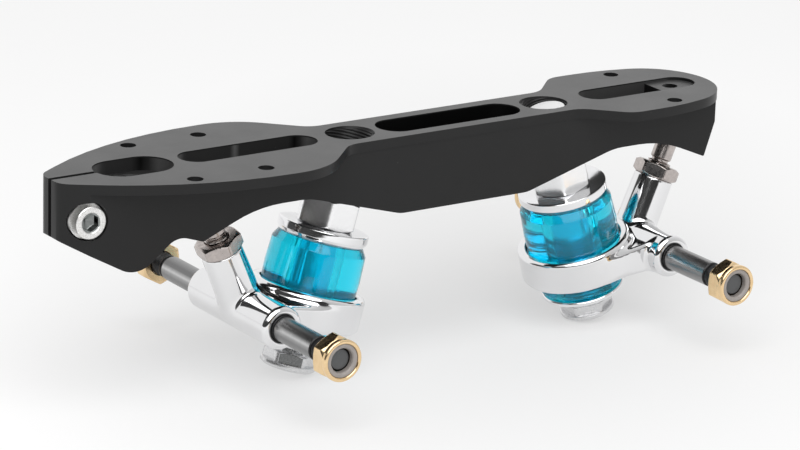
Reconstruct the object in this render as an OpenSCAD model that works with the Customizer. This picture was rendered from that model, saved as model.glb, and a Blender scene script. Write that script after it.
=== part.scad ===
// Roller skate plate with two urethane-sprung steering trucks.
// Millimetres. X runs from toe to heel, Y across, Z up. The origin lies on the sole face, midway
// between the two kingpins. Each truck is drawn heel-side out and mirrored for the toe end.

/* [Plate] */
// Distance between the two kingpin holes on the sole face
kingpin_gap = 75; // [60:1:110]
// Nose, measured forward from the front kingpin hole
nose_reach = 106.3; // [100:0.5:120]
// Heel end, measured back from the rear kingpin hole
heel_reach = 64.9; // [62:0.5:80]
// Width of the flat nose
nose_w = 11.4; // [10:0.2:20]
// Width of the toe flange
front_w = 59.2; // [52:0.2:72]
// Width of the heel flange
heel_w = 47.2; // [42:0.2:56]
// Width of the heel flange where its end arc starts
heel_end_w = 33.4; // [30:0.2:36]
// Width of the waist
waist_w = 22.5; // [20:0.5:26]
// Thickness of the flange
flange_t = 3.2; // [2.4:0.2:4]
// How far the beam stands in from the edge of the waist
beam_step = 0.35; // [0.2:0.05:0.8]
// Where the toe flange reaches full width, forward from the front kingpin hole
toe_shoulder = 71.1; // [66:0.5:80]
// Where the toe flange starts to narrow, forward from the front kingpin hole
toe_lobe_end = 25.5; // [22:0.5:34]
// Where the heel flange reaches full width, back from the rear kingpin hole
heel_lobe_start = 18.6; // [16:0.5:24]
// Where the heel side starts to draw in, back from the rear kingpin hole
heel_side_end = 38.2; // [34:0.5:42]
// Radius of the nose corners
nose_round = 6; // [3:0.5:8]
// Radius of the long toe side
toe_sweep = 109; // [80:1:120]
// Radius of the toe flange where it narrows
toe_lobe_round = 25; // [15:0.5:26]
// Radius of the heel side
heel_sweep = 72; // [50:1:80]
// Radius of the corners into and out of the waist
waist_round = 9; // [5:0.5:12]

/* [Beam] */
// Height of the nose
nose_h = 18; // [16:0.5:20]
// Slope of the chin, square to the toe stop
chin_tilt = 29.3; // [26:0.1:32]
// Lowest point of the nose, forward from the front kingpin hole
keel_reach = 82; // [80:0.5:86]
// Radius of the lowest point of the nose
keel_round = 9.5; // [5:0.5:12]
// Top of the arch behind the nose, forward from the front kingpin hole
arch_reach = 68.2; // [66:0.2:70]
// Depth of the arch below the sole
arch_depth = 20.7; // [19:0.1:22]
// Radius of the arch
arch_round = 7; // [2:0.5:8]
// End of the pivot face under the toe, forward from the front kingpin hole
toe_lip = 59; // [57:0.2:61]
// End of the pivot face under the heel, back from the rear kingpin hole
heel_lip = 58; // [57:0.2:60]
// Depth of the roof between kingpin and pivot
roof_depth = 15.6; // [14.5:0.1:17]
// Depth of the belly between the kingpins
belly_depth = 25.4; // [23:0.2:28]
// Radius where the roof meets the slope of the kingpin seat
roof_round = 24; // [5:1:30]
// Radius where the roof meets the slope of the pivot face
roof_sweep = 44; // [5:1:50]
// Radius of the outer corners of the beam's underside
belly_round = 12; // [5:0.5:16]

/* [Slots and holes] */
// Width of the toe and heel slots
slot_w = 12; // [9:0.5:13]
// Near and far end of the toe slot, forward from the front kingpin hole
toe_slot = [12.6, 61.2];
// Near and far end of the heel slot, back from the rear kingpin hole
heel_slot = [15, 59.6];
// Depth of the toe and heel slots over the roof
slot_depth = 10.6; // [8:0.2:11.5]
// Depth of the toe and heel slots over the pivot
slot_shelf_depth = 5; // [3:0.2:6]
// Where the slots step up to the shelf, outward from the kingpin hole
slot_shelf = 43; // [38:0.5:44]
// Length of the middle slot
middle_slot_l = 53; // [44:0.5:55]
// Width of the middle slot
middle_slot_w = 14; // [10:0.5:16]
// Thickness of the floor under the middle slot
middle_floor = 4.4; // [3:0.2:8]
// Diameter of the boot screw holes
screw_hole_d = 5; // [4.2:0.1:6]
// Middle of the front screw holes, forward from the front kingpin hole
front_holes_reach = 55.3; // [52:0.1:58]
// Spacing of the front screw holes along the plate
front_holes_l = 25; // [20:0.5:28]
// Spacing of the front screw holes across the plate
front_holes_w = 40.5; // [34:0.5:44]
// Rear screw holes, back from the rear kingpin hole
rear_holes_reach = 39.6; // [36:0.1:42]
// Spacing of the rear screw holes across the plate
rear_holes_w = 35; // [31:0.5:38]
// Diameter of the knock-out hole over each pivot cup
knockout_d = 5; // [3:0.1:6]

/* [Toe stop clamp] */
// Diameter of the toe stop hole
stem_d = 15.9; // [14:0.1:16]
// Where the toe stop axis crosses the sole, forward from the front kingpin hole
stem_reach = 77.7; // [76:0.1:80]
// Width of the relief around the toe stop hole
stem_relief_w = 17.4; // [16.4:0.1:18]
// Length of the relief around the toe stop hole
stem_relief_l = 26; // [24:0.1:28]
// Depth of the relief around the toe stop hole
stem_relief_depth = 4.5; // [2:0.1:6]
// Width of the clamp slit
slit_w = 1.8; // [0.8:0.1:2]
// Clamp screw, forward from the front kingpin hole
clamp_reach = 98.4; // [96.5:0.1:99]
// Depth of the clamp screw below the sole
clamp_depth = 11.8; // [9:0.1:12]
// Thread diameter of the clamp screw
clamp_d = 6; // [5:0.1:6.4]
// Head diameter of the clamp screw
clamp_head_d = 11.4; // [9:0.1:12]
// Head height of the clamp screw
clamp_head_h = 5.6; // [4:0.1:6]
// How far that head stands out of the beam
clamp_proud = 0.6; // [0:0.1:1.2]
// Hex key size of the clamp screw
clamp_key = 5; // [4:0.1:5.6]
// Thread length of the clamp screw
clamp_l = 15; // [13:0.5:16]

/* [Kingpin] */
// Tilt of the kingpins, foot outward
kingpin_tilt = 16; // [14:0.1:18]
// Thread diameter of the kingpin in the plate
kingpin_d = 14.6; // [12:0.1:15]
// Angle of the flare at the top of a kingpin hole
hole_flare = 15; // [10:0.5:35]
// Depth of that flare
hole_flare_depth = 0.4; // [0.3:0.1:2.5]
// Diameter of the kingpin below its hex
shank_d = 12; // [10:0.1:12.6]
// Top of the front kingpin, below the sole along its axis
front_kingpin_top = 9; // [5:0.5:12]
// Top of the rear kingpin, below the sole along its axis
rear_kingpin_top = 2.8; // [2.2:0.2:12]
// Kingpin seat on the plate, below the sole along the kingpin
seat = 20.8; // [19.5:0.1:22]
// Size across the flats of the kingpin hex
hex_af = 17.8; // [16:0.1:19]
// Height of the kingpin hex
hex_h = 9.4; // [8:0.1:11]

/* [Bushings] */
// Diameter of the upper retainer
retainer_d = 29.2; // [27:0.1:30]
// Height of the upper retainer
retainer_h = 4.1; // [3.4:0.1:6]
// Diameter of the upper bushing
bushing_d = 30.4; // [28:0.1:31.4]
// Diameter of the lower bushing
lower_bushing_d = 28; // [26:0.1:28.4]
// Height of the upper bushing
bushing_h = 21; // [19:0.1:22]
// Height of the lower bushing
lower_bushing_h = 8.2; // [6:0.1:9]
// Chamfer on the free rim of each bushing, inward
bushing_chamfer = 1.6; // [1:0.1:2.5]
// Chamfer on the free rim of each bushing, along the kingpin
bushing_chamfer_h = 2.6; // [1:0.1:3]
// Swell of the upper bushing's side
bushing_swell = 0.3; // [0.1:0.05:0.4]
// Diameter of the lower retainer at the bushing
lower_retainer_d = 27.4; // [25:0.1:28]
// Diameter of the lower retainer at the nut
lower_retainer_foot_d = 18.4; // [18:0.1:22]
// Height of the lower retainer
lower_retainer_h = 4.2; // [3.5:0.1:6]
// Size across the flats of the adjuster nut
adjuster_af = 15; // [14:0.1:16]
// Height of the adjuster nut's hex
adjuster_h = 3.6; // [2.5:0.1:5]
// Flange diameter of the adjuster nut
adjuster_flange_d = 18; // [17.4:0.1:21]
// Flange height of the adjuster nut
adjuster_flange_h = 2.1; // [1.2:0.1:3]

/* [Hanger] */
// Axle, outward from the kingpin hole
axle_reach = 37.5; // [36.5:0.1:39]
// Axle, below the sole
axle_depth = 51.6; // [50:0.1:53]
// Outer diameter of the ring
ring_d = 37.6; // [36.4:0.1:40]
// Height of the ring
ring_h = 11.3; // [9:0.1:12]
// Radius of the ring's rims
ring_round = 1.6; // [1:0.1:2]
// Thickness of the web between the bushings
web_t = 3; // [2:0.1:4]
// Depth of the cup over the web
cup_depth = 5.7; // [3:0.1:6.5]
// Diameter of the hole in the web
web_hole_d = 18; // [16:0.1:20]
// Outer diameter of the axle housing
housing_d = 14; // [13:0.1:16]
// Length of the axle housing
housing_l = 47.4; // [44:0.2:54]
// Radius of the housing's ends
housing_round = 3; // [1:0.1:3.2]
// Length of the neck along the housing
neck_l = 38; // [30:0.5:40]
// Diameter of the pivot arm at the axle
arm_root_d = 14; // [13:0.1:16]
// Diameter of the pivot arm at its top
arm_top_d = 13.4; // [12:0.1:15]
// Length of the pivot arm from the axle
arm_l = 21.8; // [20:0.1:24]

/* [Pivot] */
// Tilt of the pivot pins, top outward
pivot_tilt = 23; // [21:0.1:25]
// Pivot face of the plate, from the axle along the pivot pin
pivot_face = 34; // [33:0.1:35]
// Ball centre above the pivot face
ball_rise = 4.4; // [3.5:0.1:5]
// Diameter of the ball
ball_d = 9; // [8:0.1:9.6]
// Thread diameter of the pivot pin
pin_d = 8; // [7:0.1:9]
// Metal between the axle's bore and the foot of the pivot pin
pin_floor = 2.8; // [2:0.1:4]
// Diameter of the pin's neck under the ball
pin_neck_d = 7; // [5:0.1:7.2]
// Thread of the pivot pin that stands out of its locknut
pin_stub = 0.9; // [0.5:0.1:2]
// Diameter of the groove under that neck
pin_groove_d = 5.6; // [4.6:0.1:6]
// Height of the groove
pin_groove_h = 0.8; // [0.5:0.1:1.5]
// Size across the flats of the pivot locknut
locknut_af = 13.4; // [12:0.1:14.5]
// Height of the pivot locknut
locknut_h = 4.6; // [4:0.1:6]
// Diameter of the pivot cup
cup_d = 13; // [12:0.1:14]
// Height of the pivot cup
cup_h = 9.8; // [9.2:0.1:10.4]

/* [Axle] */
// Diameter of the axle
axle_d = 8; // [7:0.1:8.4]
// Diameter of the axle inside the hanger, a shoulder for the wheel's bearing
axle_core_d = 8.4; // [8.4:0.1:9]
// Diameter of the axle's thread
axle_thread_d = 7.6; // [6.6:0.1:7.6]
// Length of the plain axle
axle_plain_l = 89; // [84:0.2:92]
// Length of the whole axle
axle_l = 111; // [108:0.2:112]
// How far an axle nut stands past the end of the axle
nut_overhang = 2.2; // [1.5:0.1:3]
// Height of an axle nut
nut_h = 7.2; // [6.6:0.1:8.6]
// Height of the hex on an axle nut
nut_hex_h = 5; // [4:0.1:5.6]
// Size across the flats of an axle nut
nut_af = 13; // [12:0.1:14]
// Diameter of an axle nut's collar
nut_collar_d = 13.4; // [12.6:0.1:13.8]
// Diameter of the nylon insert
insert_d = 10.8; // [9.6:0.1:11]
// Height of the nylon insert
insert_h = 2.2; // [1.6:0.1:2.6]

/* [Fits] */
// Clearance between threads and their bores, on the radius
thread_clear = 0.05; // [0.02:0.01:0.1]
// Clearance between the ball and its cup, on the radius
ball_clear = 0.08; // [0.02:0.01:0.1]
// Gap between the bushings and the hanger
bushing_gap = 0.3; // [0.2:0.05:0.5]
// Clearance around the clamp screw's head, on the radius
head_clear = 0.35; // [0.3:0.05:0.6]

/* [Hidden] */
$fn = 64;

// ends of the plate and the sides of an axle, as signs
toe = -1;
heel = 1;
left = -1;
right = 1;

// a cut runs this far past the face it opens
past = 1;
// largest turn between two points of a rounded corner, in degrees
arc_step = 5;

nose_x = -kingpin_gap / 2 - nose_reach;
heel_x = kingpin_gap / 2 + heel_reach;
beam_w = waist_w - 2 * beam_step;

// stations along the kingpin, below the sole
hex_end = seat + hex_h;
retainer_end = hex_end + retainer_h;
bushing_end = retainer_end + bushing_h;
web_top = bushing_end + bushing_gap;
web_end = web_top + web_t;
ring_top = web_top - cup_depth;
ring_end = ring_top + ring_h;
lower_bushing_top = web_end + bushing_gap;
lower_bushing_end = lower_bushing_top + lower_bushing_h;
lower_retainer_end = lower_bushing_end + lower_retainer_h;
adjuster_end = lower_retainer_end + adjuster_h + adjuster_flange_h;

// inner face of an axle nut from the middle of the axle, and foot of the pivot pin above it
nut_face = axle_l / 2 + nut_overhang - nut_h;
pin_foot = axle_core_d / 2 + pin_floor;

// length of the cone that flares a kingpin hole
flare_h = hole_flare_depth + kingpin_d / 4;

// room for the bushings inside the hanger
upper_cup_r = bushing_d / 2 + bushing_swell + bushing_gap;
lower_cup_r = lower_bushing_d / 2 + bushing_gap;

// seat of the kingpin and face of the pivot, in the plane of symmetry of a truck
seat_point = seat * [sin(kingpin_tilt), -cos(kingpin_tilt)];
axle_point = [axle_reach, -axle_depth];
pivot_point = axle_point + pivot_face * [sin(pivot_tilt), cos(pivot_tilt)];

// the axle as seen along the kingpin
axle_side = axle_reach * cos(kingpin_tilt) - axle_depth * sin(kingpin_tilt);
axle_station = axle_reach * sin(kingpin_tilt) + axle_depth * cos(kingpin_tilt);

function unit(v) = v / norm(v);
function ray(a) = [cos(a), sin(a)];
function flat(v) = [v[0], v[1]];
function half_turn(a) = a - 360 * round(a / 360);

// Where the line through p at angle a meets the line through q at angle b
function meet(p, a, q, b) = p + ray(a) * cross(q - p, ray(b)) / cross(ray(a), ray(b));

// Half the inner angle of the corner b between a and c
function half_angle(a, b, c) = acos(unit(flat(a) - flat(b)) * unit(flat(c) - flat(b))) / 2;

// Length that the rounding of corner b takes from each of its sides
function taken(a, b, c) = b[2] / tan(half_angle(a, b, c));

// Share of the roundings that fits on the side from b to c
function share(a, b, c, d) = min(1, norm(flat(c) - flat(b)) / max(taken(a, b, c) + taken(b, c, d), 0.001));

// Points of the corner b rounded by r
function bend(a, b, c, r) =
    let (
        half = half_angle(a, b, c),
        u = unit(flat(a) - flat(b)),
        w = unit(flat(c) - flat(b)),
        centre = flat(b) + unit(u + w) * r / sin(half),
        start = flat(b) + u * r / tan(half) - centre,
        end = flat(b) + w * r / tan(half) - centre,
        from = atan2(start.y, start.x),
        sweep = half_turn(atan2(end.y, end.x) - from),
        steps = ceil(abs(sweep) / arc_step)
    )
    r == 0 ? [flat(b)] : [for (i = [0:steps]) centre + r * ray(from + sweep * i / steps)];

// Outline through corners [x, y, radius]
function rounded(v) =
    let (n = len(v))
    [for (i = [0:n - 1])
        let (
            a = v[(i + n - 1) % n],
            b = v[i],
            c = v[(i + 1) % n],
            fits = min(share(v[(i + n - 2) % n], a, b, c), share(a, b, c, v[(i + 2) % n]))
        )
        each bend(a, b, c, b[2] * fits)];

// A truck, moved to its end of the plate
module truck(end) {
    translate([end * kingpin_gap / 2, 0, 0])
        mirror([end == toe ? 1 : 0, 0, 0])
            children();
}

// Frame of a kingpin: Z up along it, zero at the sole
module on_kingpin() {
    rotate([0, -kingpin_tilt, 0])
        children();
}

// Frame of a pivot pin: Z up along it, zero at the axle
module on_pivot() {
    translate([axle_reach, 0, -axle_depth])
        rotate([0, pivot_tilt, 0])
            children();
}

// Frame of an axle end: Z outward along it, zero at the middle of the axle
module on_axle(side) {
    translate([axle_reach, 0, -axle_depth])
        rotate([-side * 90, 0, 0])
            children();
}

// Disc or ring between two stations below the sole, on the kingpin
module collar(top, end, r) {
    translate([0, 0, -end])
        cylinder(h = end - top, r = r);
}

// Rectangle with round corners
module soft_square(x0, x1, y0, y1, r) {
    translate([x0 + r, y0])
        square([x1 - x0 - 2 * r, y1 - y0]);
    translate([x0, y0 + r])
        square([x1 - x0, y1 - y0 - 2 * r]);
    for (x = [x0 + r, x1 - r])
        for (y = [y0 + r, y1 - r])
            translate([x, y])
                circle(r);
}

// Round bar with round ends, centred on its axis
module soft_bar(l, r, round_r) {
    rotate_extrude()
        intersection() {
            soft_square(-r, r, -l / 2, l / 2, round_r);
            translate([0, -l])
                square([r + past, 2 * l]);
        }
}

// Hexagonal bar with flats that far apart
module hex_bar(h, af) {
    rotate(30)
        cylinder(h = h, d = af / cos(30), $fn = 6);
}

// Hexagonal bar whose corners are turned down to a cone at both ends
module hex_nut(h, af) {
    corner_r = af / cos(30) / 2;
    drop = (corner_r - af / 2) * tan(30);
    intersection() {
        hex_bar(h, af);
        rotate_extrude()
            polygon([
                [0, 0], [af / 2, 0], [corner_r, drop], [corner_r, h - drop], [af / 2, h], [0, h]
            ]);
    }
}

// Slot with round ends from x0 to x1, sunk from the sole
module slot(x0, x1, w, depth) {
    translate([0, 0, -depth])
        linear_extrude(depth + past) {
            translate([x0 + w / 2, -w / 2])
                square([x1 - x0 - w, w]);
            for (x = [x0 + w / 2, x1 - w / 2])
                translate([x, 0])
                    circle(d = w);
        }
}

// Outline of the sole
module sole_outline() {
    toe_x = -kingpin_gap / 2;
    waist_y = waist_w / 2;
    toe_run = (front_w - waist_w) / 2;
    heel_run = (heel_w - waist_w) / 2;
    side_x = kingpin_gap / 2 + heel_side_end;
    end_slope = atan2((heel_w - heel_end_w) / 2, heel_x - side_x);
    end_r = heel_end_w / 2 * tan((90 + end_slope) / 2);
    half = [
        [nose_x, nose_w / 2, nose_round],
        [toe_x - toe_shoulder, front_w / 2, toe_sweep],
        [toe_x - toe_lobe_end, front_w / 2, toe_lobe_round],
        [toe_x - toe_lobe_end + toe_run, waist_y, waist_round],
        [kingpin_gap / 2 + heel_lobe_start - heel_run, waist_y, waist_round],
        [kingpin_gap / 2 + heel_lobe_start, heel_w / 2, waist_round],
        [side_x, heel_w / 2, heel_sweep],
        [heel_x, heel_end_w / 2, end_r]
    ];
    other = [for (i = [len(half) - 1:-1:0]) [half[i][0], -half[i][1], half[i][2]]];
    polygon(rounded(concat(half, other)));
}

// Side view of the beam. Each end takes its kingpin seat, roof and pivot face from its truck.
module beam_profile() {
    roof = [0, -roof_depth];
    belly = [0, -belly_depth];
    roof_in = meet(seat_point, kingpin_tilt, roof, 0);
    roof_out = meet(pivot_point, -pivot_tilt, roof, 0);
    belly_in = meet(seat_point, kingpin_tilt, belly, 0);
    toe_lip_z = meet(pivot_point, -pivot_tilt, [toe_lip, 0], 90).y;
    heel_lip_z = meet(pivot_point, -pivot_tilt, [heel_lip, 0], 90).y;
    front = -kingpin_gap / 2;
    rear = kingpin_gap / 2;
    polygon(rounded([
        [nose_x, 0, 0],
        [nose_x, -nose_h, 1],
        [front - keel_reach, -nose_h - (nose_reach - keel_reach) * tan(chin_tilt), keel_round],
        [front - arch_reach, -arch_depth, arch_round],
        [front - toe_lip, toe_lip_z, 1.5],
        [front - roof_out.x, -roof_depth, roof_sweep],
        [front - roof_in.x, -roof_depth, roof_round],
        [front - belly_in.x, -belly_depth, belly_round],
        [rear + belly_in.x, -belly_depth, belly_round],
        [rear + roof_in.x, -roof_depth, roof_round],
        [rear + roof_out.x, -roof_depth, roof_sweep],
        [rear + heel_lip, heel_lip_z, 0.5],
        [heel_x, -flange_t, 0],
        [heel_x, 0, 0]
    ]));
}

// Hole for a boot screw through the flange
module screw_hole(x, y) {
    translate([x, y, -flange_t - past])
        cylinder(h = flange_t + 2 * past, d = screw_hole_d);
}

// What a truck needs cut out of its end of the plate
module truck_seats() {
    on_kingpin() {
        collar(-past - kingpin_d, seat + past, kingpin_d / 2 + thread_clear);
        translate([0, 0, -hole_flare_depth])
            cylinder(h = flare_h, r1 = kingpin_d / 2, r2 = kingpin_d / 2 + flare_h * tan(hole_flare));
    }
    on_pivot() {
        translate([0, 0, pivot_face - past])
            cylinder(h = cup_h + past, d = cup_d + 2 * thread_clear);
    }
}

// Clamp screw axis, pointing from its head on the left to its thread on the right
module on_clamp() {
    translate([-kingpin_gap / 2 - clamp_reach, -beam_w / 2, -clamp_depth])
        rotate([-90, 0, 0])
            children();
}

// Toe stop axis, zero at the sole and Z up along it
module on_stem() {
    translate([-kingpin_gap / 2 - stem_reach, 0, 0])
        rotate([0, chin_tilt, 0])
            children();
}

module plate() {
    toe_x = -kingpin_gap / 2;
    heel_start = kingpin_gap / 2;
    knockout_x = pivot_point.x + ball_rise * sin(pivot_tilt);
    color("#2b2a2c")
        difference() {
            union() {
                translate([0, 0, -flange_t])
                    linear_extrude(flange_t)
                        sole_outline();
                intersection() {
                    rotate([90, 0, 0])
                        linear_extrude(beam_w, center = true)
                            beam_profile();
                    translate([0, 0, -2 * belly_depth])
                        linear_extrude(2 * belly_depth)
                            sole_outline();
                }
            }
            for (end = [toe, heel])
                truck(end) {
                    truck_seats();
                    translate([knockout_x, 0, pivot_point.y])
                        cylinder(h = -pivot_point.y - slot_shelf_depth + past, d = knockout_d);
                }
            mirror([1, 0, 0])
                translate([-toe_x, 0, 0]) {
                    slot(toe_slot[0], toe_slot[1], slot_w, slot_shelf_depth);
                    slot(toe_slot[0], slot_shelf, slot_w, slot_depth);
                }
            translate([heel_start, 0, 0]) {
                slot(heel_slot[0], heel_slot[1], slot_w, slot_shelf_depth);
                slot(heel_slot[0], slot_shelf, slot_w, slot_depth);
            }
            slot(-middle_slot_l / 2, middle_slot_l / 2, middle_slot_w, belly_depth - middle_floor);
            for (side = [left, right]) {
                for (step = [-0.5, 0.5])
                    screw_hole(toe_x - front_holes_reach + step * front_holes_l, side * front_holes_w / 2);
                screw_hole(heel_start + rear_holes_reach, side * rear_holes_w / 2);
            }
            on_stem()
                translate([0, 0, -2 * belly_depth])
                    cylinder(h = 3 * belly_depth, d = stem_d);
            translate([toe_x - stem_reach, 0, 0])
                slot(-stem_relief_l / 2, stem_relief_l / 2, stem_relief_w, stem_relief_depth);
            translate([nose_x - past, -slit_w / 2, -2 * belly_depth])
                cube([nose_reach - stem_reach + past, slit_w, 3 * belly_depth]);
            on_clamp() {
                translate([0, 0, -past])
                    cylinder(h = clamp_head_h - clamp_proud + thread_clear + past,
                        d = clamp_head_d + 2 * head_clear);
                cylinder(h = clamp_head_h + clamp_l + past, d = clamp_d + 2 * thread_clear);
            }
        }
}

module toe_stop_clamp_screw() {
    color("#c9c6c0")
        on_clamp()
            translate([0, 0, -clamp_proud])
                difference() {
                    union() {
                        cylinder(h = clamp_head_h, d = clamp_head_d);
                        translate([0, 0, clamp_head_h])
                            cylinder(h = clamp_l, d = clamp_d);
                    }
                    translate([0, 0, -past])
                        hex_bar(clamp_head_h / 2 + past, clamp_key);
                }
}

module kingpin(top) {
    color("#d5d7d9")
        on_kingpin() {
            collar(top, seat, kingpin_d / 2);
            translate([0, 0, -hex_end])
                rotate(30)
                    hex_nut(hex_h, hex_af);
            collar(hex_end, adjuster_end, shank_d / 2);
        }
}

module upper_retainer() {
    r = retainer_d / 2;
    bore = shank_d / 2 + thread_clear;
    boss = hex_af / 2 / cos(30) + 0.4;
    color("#e4e5e6")
        on_kingpin()
            translate([0, 0, -retainer_end])
                rotate_extrude()
                    polygon(rounded([
                        [bore, 0, 0],
                        [r - 0.3, 0, 0.4],
                        [r, retainer_h - 1.4, 0.6],
                        [r - 1, retainer_h - 0.2, 0.8],
                        [(r + boss) / 2, retainer_h - 0.8, 1],
                        [boss, retainer_h, 0],
                        [bore, retainer_h, 0]
                    ]));
}

module upper_bushing() {
    r = bushing_d / 2;
    bore = shank_d / 2 + bushing_gap;
    color("#19b4cc")
        on_kingpin()
            translate([0, 0, -bushing_end])
                rotate_extrude()
                    polygon([
                        [bore, 0], [r - bushing_chamfer / 2, 0], [r, bushing_chamfer / 2],
                        [r + bushing_swell, bushing_h / 2], [r, bushing_h - bushing_chamfer_h],
                        [r - bushing_chamfer, bushing_h], [bore, bushing_h]
                    ]);
}

module lower_bushing() {
    r = lower_bushing_d / 2;
    bore = shank_d / 2 + bushing_gap;
    color("#1a8ea6")
        on_kingpin()
            translate([0, 0, -lower_bushing_end])
                rotate_extrude()
                    polygon([
                        [bore, 0], [r - bushing_chamfer, 0], [r, bushing_chamfer],
                        [r, lower_bushing_h], [bore, lower_bushing_h]
                    ]);
}

module lower_retainer() {
    color("#dcdee0")
        on_kingpin()
            translate([0, 0, -lower_retainer_end])
                rotate_extrude()
                    polygon(rounded([
                        [shank_d / 2 + thread_clear, 0, 0],
                        [lower_retainer_foot_d / 2, 0, 0.8],
                        [lower_retainer_d / 2, lower_retainer_h - 1.4, 0.8],
                        [lower_retainer_d / 2, lower_retainer_h, 0.3],
                        [shank_d / 2 + thread_clear, lower_retainer_h, 0]
                    ]));
}

module adjuster_nut() {
    color("#cfd2d4")
        on_kingpin()
            difference() {
                union() {
                    translate([0, 0, -lower_retainer_end - adjuster_h])
                        hex_bar(adjuster_h - thread_clear, adjuster_af);
                    translate([0, 0, -adjuster_end])
                        rotate_extrude()
                            polygon(rounded([
                                [0, 0, 0],
                                [adjuster_flange_d / 2 - 0.8, 0, 0.6],
                                [adjuster_flange_d / 2, adjuster_flange_h / 2, 0.6],
                                [adjuster_flange_d / 2 - 0.8, adjuster_flange_h, 0.4],
                                [0, adjuster_flange_h, 0]
                            ]));
                }
                collar(lower_retainer_end - past, adjuster_end + past, shank_d / 2 + thread_clear);
            }
}

module hanger() {
    ring_r = ring_d / 2;
    neck_r = housing_d / 2 - 0.8;
    neck_h = ring_h - 2 * ring_round;
    color("#dfe1e3")
        difference() {
            union() {
                on_kingpin() {
                    translate([0, 0, -ring_end])
                        rotate_extrude()
                            intersection() {
                                soft_square(-ring_r, ring_r, 0, ring_h, ring_round);
                                square([ring_r + past, ring_h + past]);
                            }
                    hull($fn = 32) {
                        collar(ring_top + ring_round, ring_end - ring_round, ring_r - 0.6, $fn = 32);
                        translate([axle_side, 0, -axle_station])
                            rotate([90, 0, 0])
                                cylinder(h = neck_l, r = neck_r, center = true, $fn = 32);
                    }
                }
                translate([axle_reach, 0, -axle_depth])
                    rotate([90, 0, 0])
                        soft_bar(housing_l, housing_d / 2, housing_round);
                on_pivot()
                    cylinder(h = arm_l, d1 = arm_root_d, d2 = arm_top_d);
            }
            on_kingpin() {
                collar(hex_end, web_top, upper_cup_r);
                collar(web_end, lower_retainer_end, lower_cup_r);
                collar(web_top - past, web_end + past, web_hole_d / 2);
            }
            translate([axle_reach, 0, -axle_depth])
                rotate([90, 0, 0])
                    cylinder(h = housing_l + 2 * past, d = axle_core_d + 2 * thread_clear, center = true);
            on_pivot()
                translate([0, 0, pin_foot])
                    cylinder(h = arm_l, d = pin_d + 2 * thread_clear);
        }
}

module pivot_pin() {
    groove = arm_l + locknut_h + pin_stub;
    neck = groove + pin_groove_h;
    color("#7d7975")
        on_pivot() {
            translate([0, 0, pin_foot])
                cylinder(h = groove - pin_foot, d = pin_d);
            translate([0, 0, groove])
                cylinder(h = pin_groove_h, d = pin_groove_d);
            translate([0, 0, neck])
                cylinder(h = pivot_face + ball_rise - neck, d = pin_neck_d);
            translate([0, 0, pivot_face + ball_rise])
                sphere(d = ball_d);
        }
}

module pivot_locknut() {
    color("#8a847f")
        on_pivot()
            translate([0, 0, arm_l])
                difference() {
                    hex_nut(locknut_h, locknut_af);
                    translate([0, 0, -past])
                        cylinder(h = locknut_h + 2 * past, d = pin_d + 2 * thread_clear);
                }
}

module pivot_cup() {
    color("#d9d6cc")
        on_pivot()
            difference() {
                translate([0, 0, pivot_face])
                    cylinder(h = cup_h, d = cup_d);
                translate([0, 0, pivot_face + ball_rise])
                    sphere(d = ball_d + 2 * ball_clear);
                translate([0, 0, pivot_face - past])
                    cylinder(h = ball_rise + past, d = ball_d + 2 * ball_clear);
            }
}

module axle() {
    color("#9b9a9d")
        translate([axle_reach, 0, -axle_depth])
            rotate([90, 0, 0]) {
                cylinder(h = housing_l, d = axle_core_d, center = true);
                cylinder(h = axle_plain_l, d = axle_d, center = true);
                cylinder(h = axle_l, d = axle_thread_d, center = true);
            }
}

module axle_nut(side) {
    color("#d8b25e")
        on_axle(side)
            translate([0, 0, nut_face])
                difference() {
                    union() {
                        hex_nut(nut_hex_h, nut_af);
                        rotate_extrude()
                            polygon(rounded([
                                [0, nut_hex_h - 1, 0],
                                [nut_collar_d / 2, nut_hex_h - 1, 0],
                                [nut_collar_d / 2, nut_h, 1.2],
                                [0, nut_h, 0]
                            ]));
                    }
                    translate([0, 0, -past])
                        cylinder(h = nut_h + 2 * past, d = axle_thread_d + 4 * thread_clear);
                    translate([0, 0, nut_h - insert_h - 0.4])
                        cylinder(h = insert_h + past, d = insert_d);
                }
}

module nut_insert(side) {
    color("#b6aba2")
        on_axle(side)
            translate([0, 0, nut_face + nut_h - insert_h - 0.4])
                difference() {
                    cylinder(h = insert_h, d = insert_d - 2 * thread_clear);
                    translate([0, 0, -past])
                        cylinder(h = insert_h + 2 * past, d = axle_thread_d + 2 * thread_clear);
                }
}

plate();
toe_stop_clamp_screw();
truck(toe) kingpin(front_kingpin_top);  // front_kingpin
truck(toe) upper_retainer();  // front_upper_retainer
truck(toe) upper_bushing();  // front_upper_bushing
truck(toe) hanger();  // front_hanger
truck(toe) lower_bushing();  // front_lower_bushing
truck(toe) lower_retainer();  // front_lower_retainer
truck(toe) adjuster_nut();  // front_adjuster_nut
truck(toe) pivot_pin();  // front_pivot_pin
truck(toe) pivot_locknut();  // front_pivot_locknut
truck(toe) pivot_cup();  // front_pivot_cup
truck(toe) axle();  // front_axle
truck(toe) axle_nut(left);  // front_left_axle_nut
truck(toe) nut_insert(left);  // front_left_nut_insert
truck(toe) axle_nut(right);  // front_right_axle_nut
truck(toe) nut_insert(right);  // front_right_nut_insert
truck(heel) kingpin(rear_kingpin_top);  // rear_kingpin
truck(heel) upper_retainer();  // rear_upper_retainer
truck(heel) upper_bushing();  // rear_upper_bushing
truck(heel) hanger();  // rear_hanger
truck(heel) lower_bushing();  // rear_lower_bushing
truck(heel) lower_retainer();  // rear_lower_retainer
truck(heel) adjuster_nut();  // rear_adjuster_nut
truck(heel) pivot_pin();  // rear_pivot_pin
truck(heel) pivot_locknut();  // rear_pivot_locknut
truck(heel) pivot_cup();  // rear_pivot_cup
truck(heel) axle();  // rear_axle
truck(heel) axle_nut(left);  // rear_left_axle_nut
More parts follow.
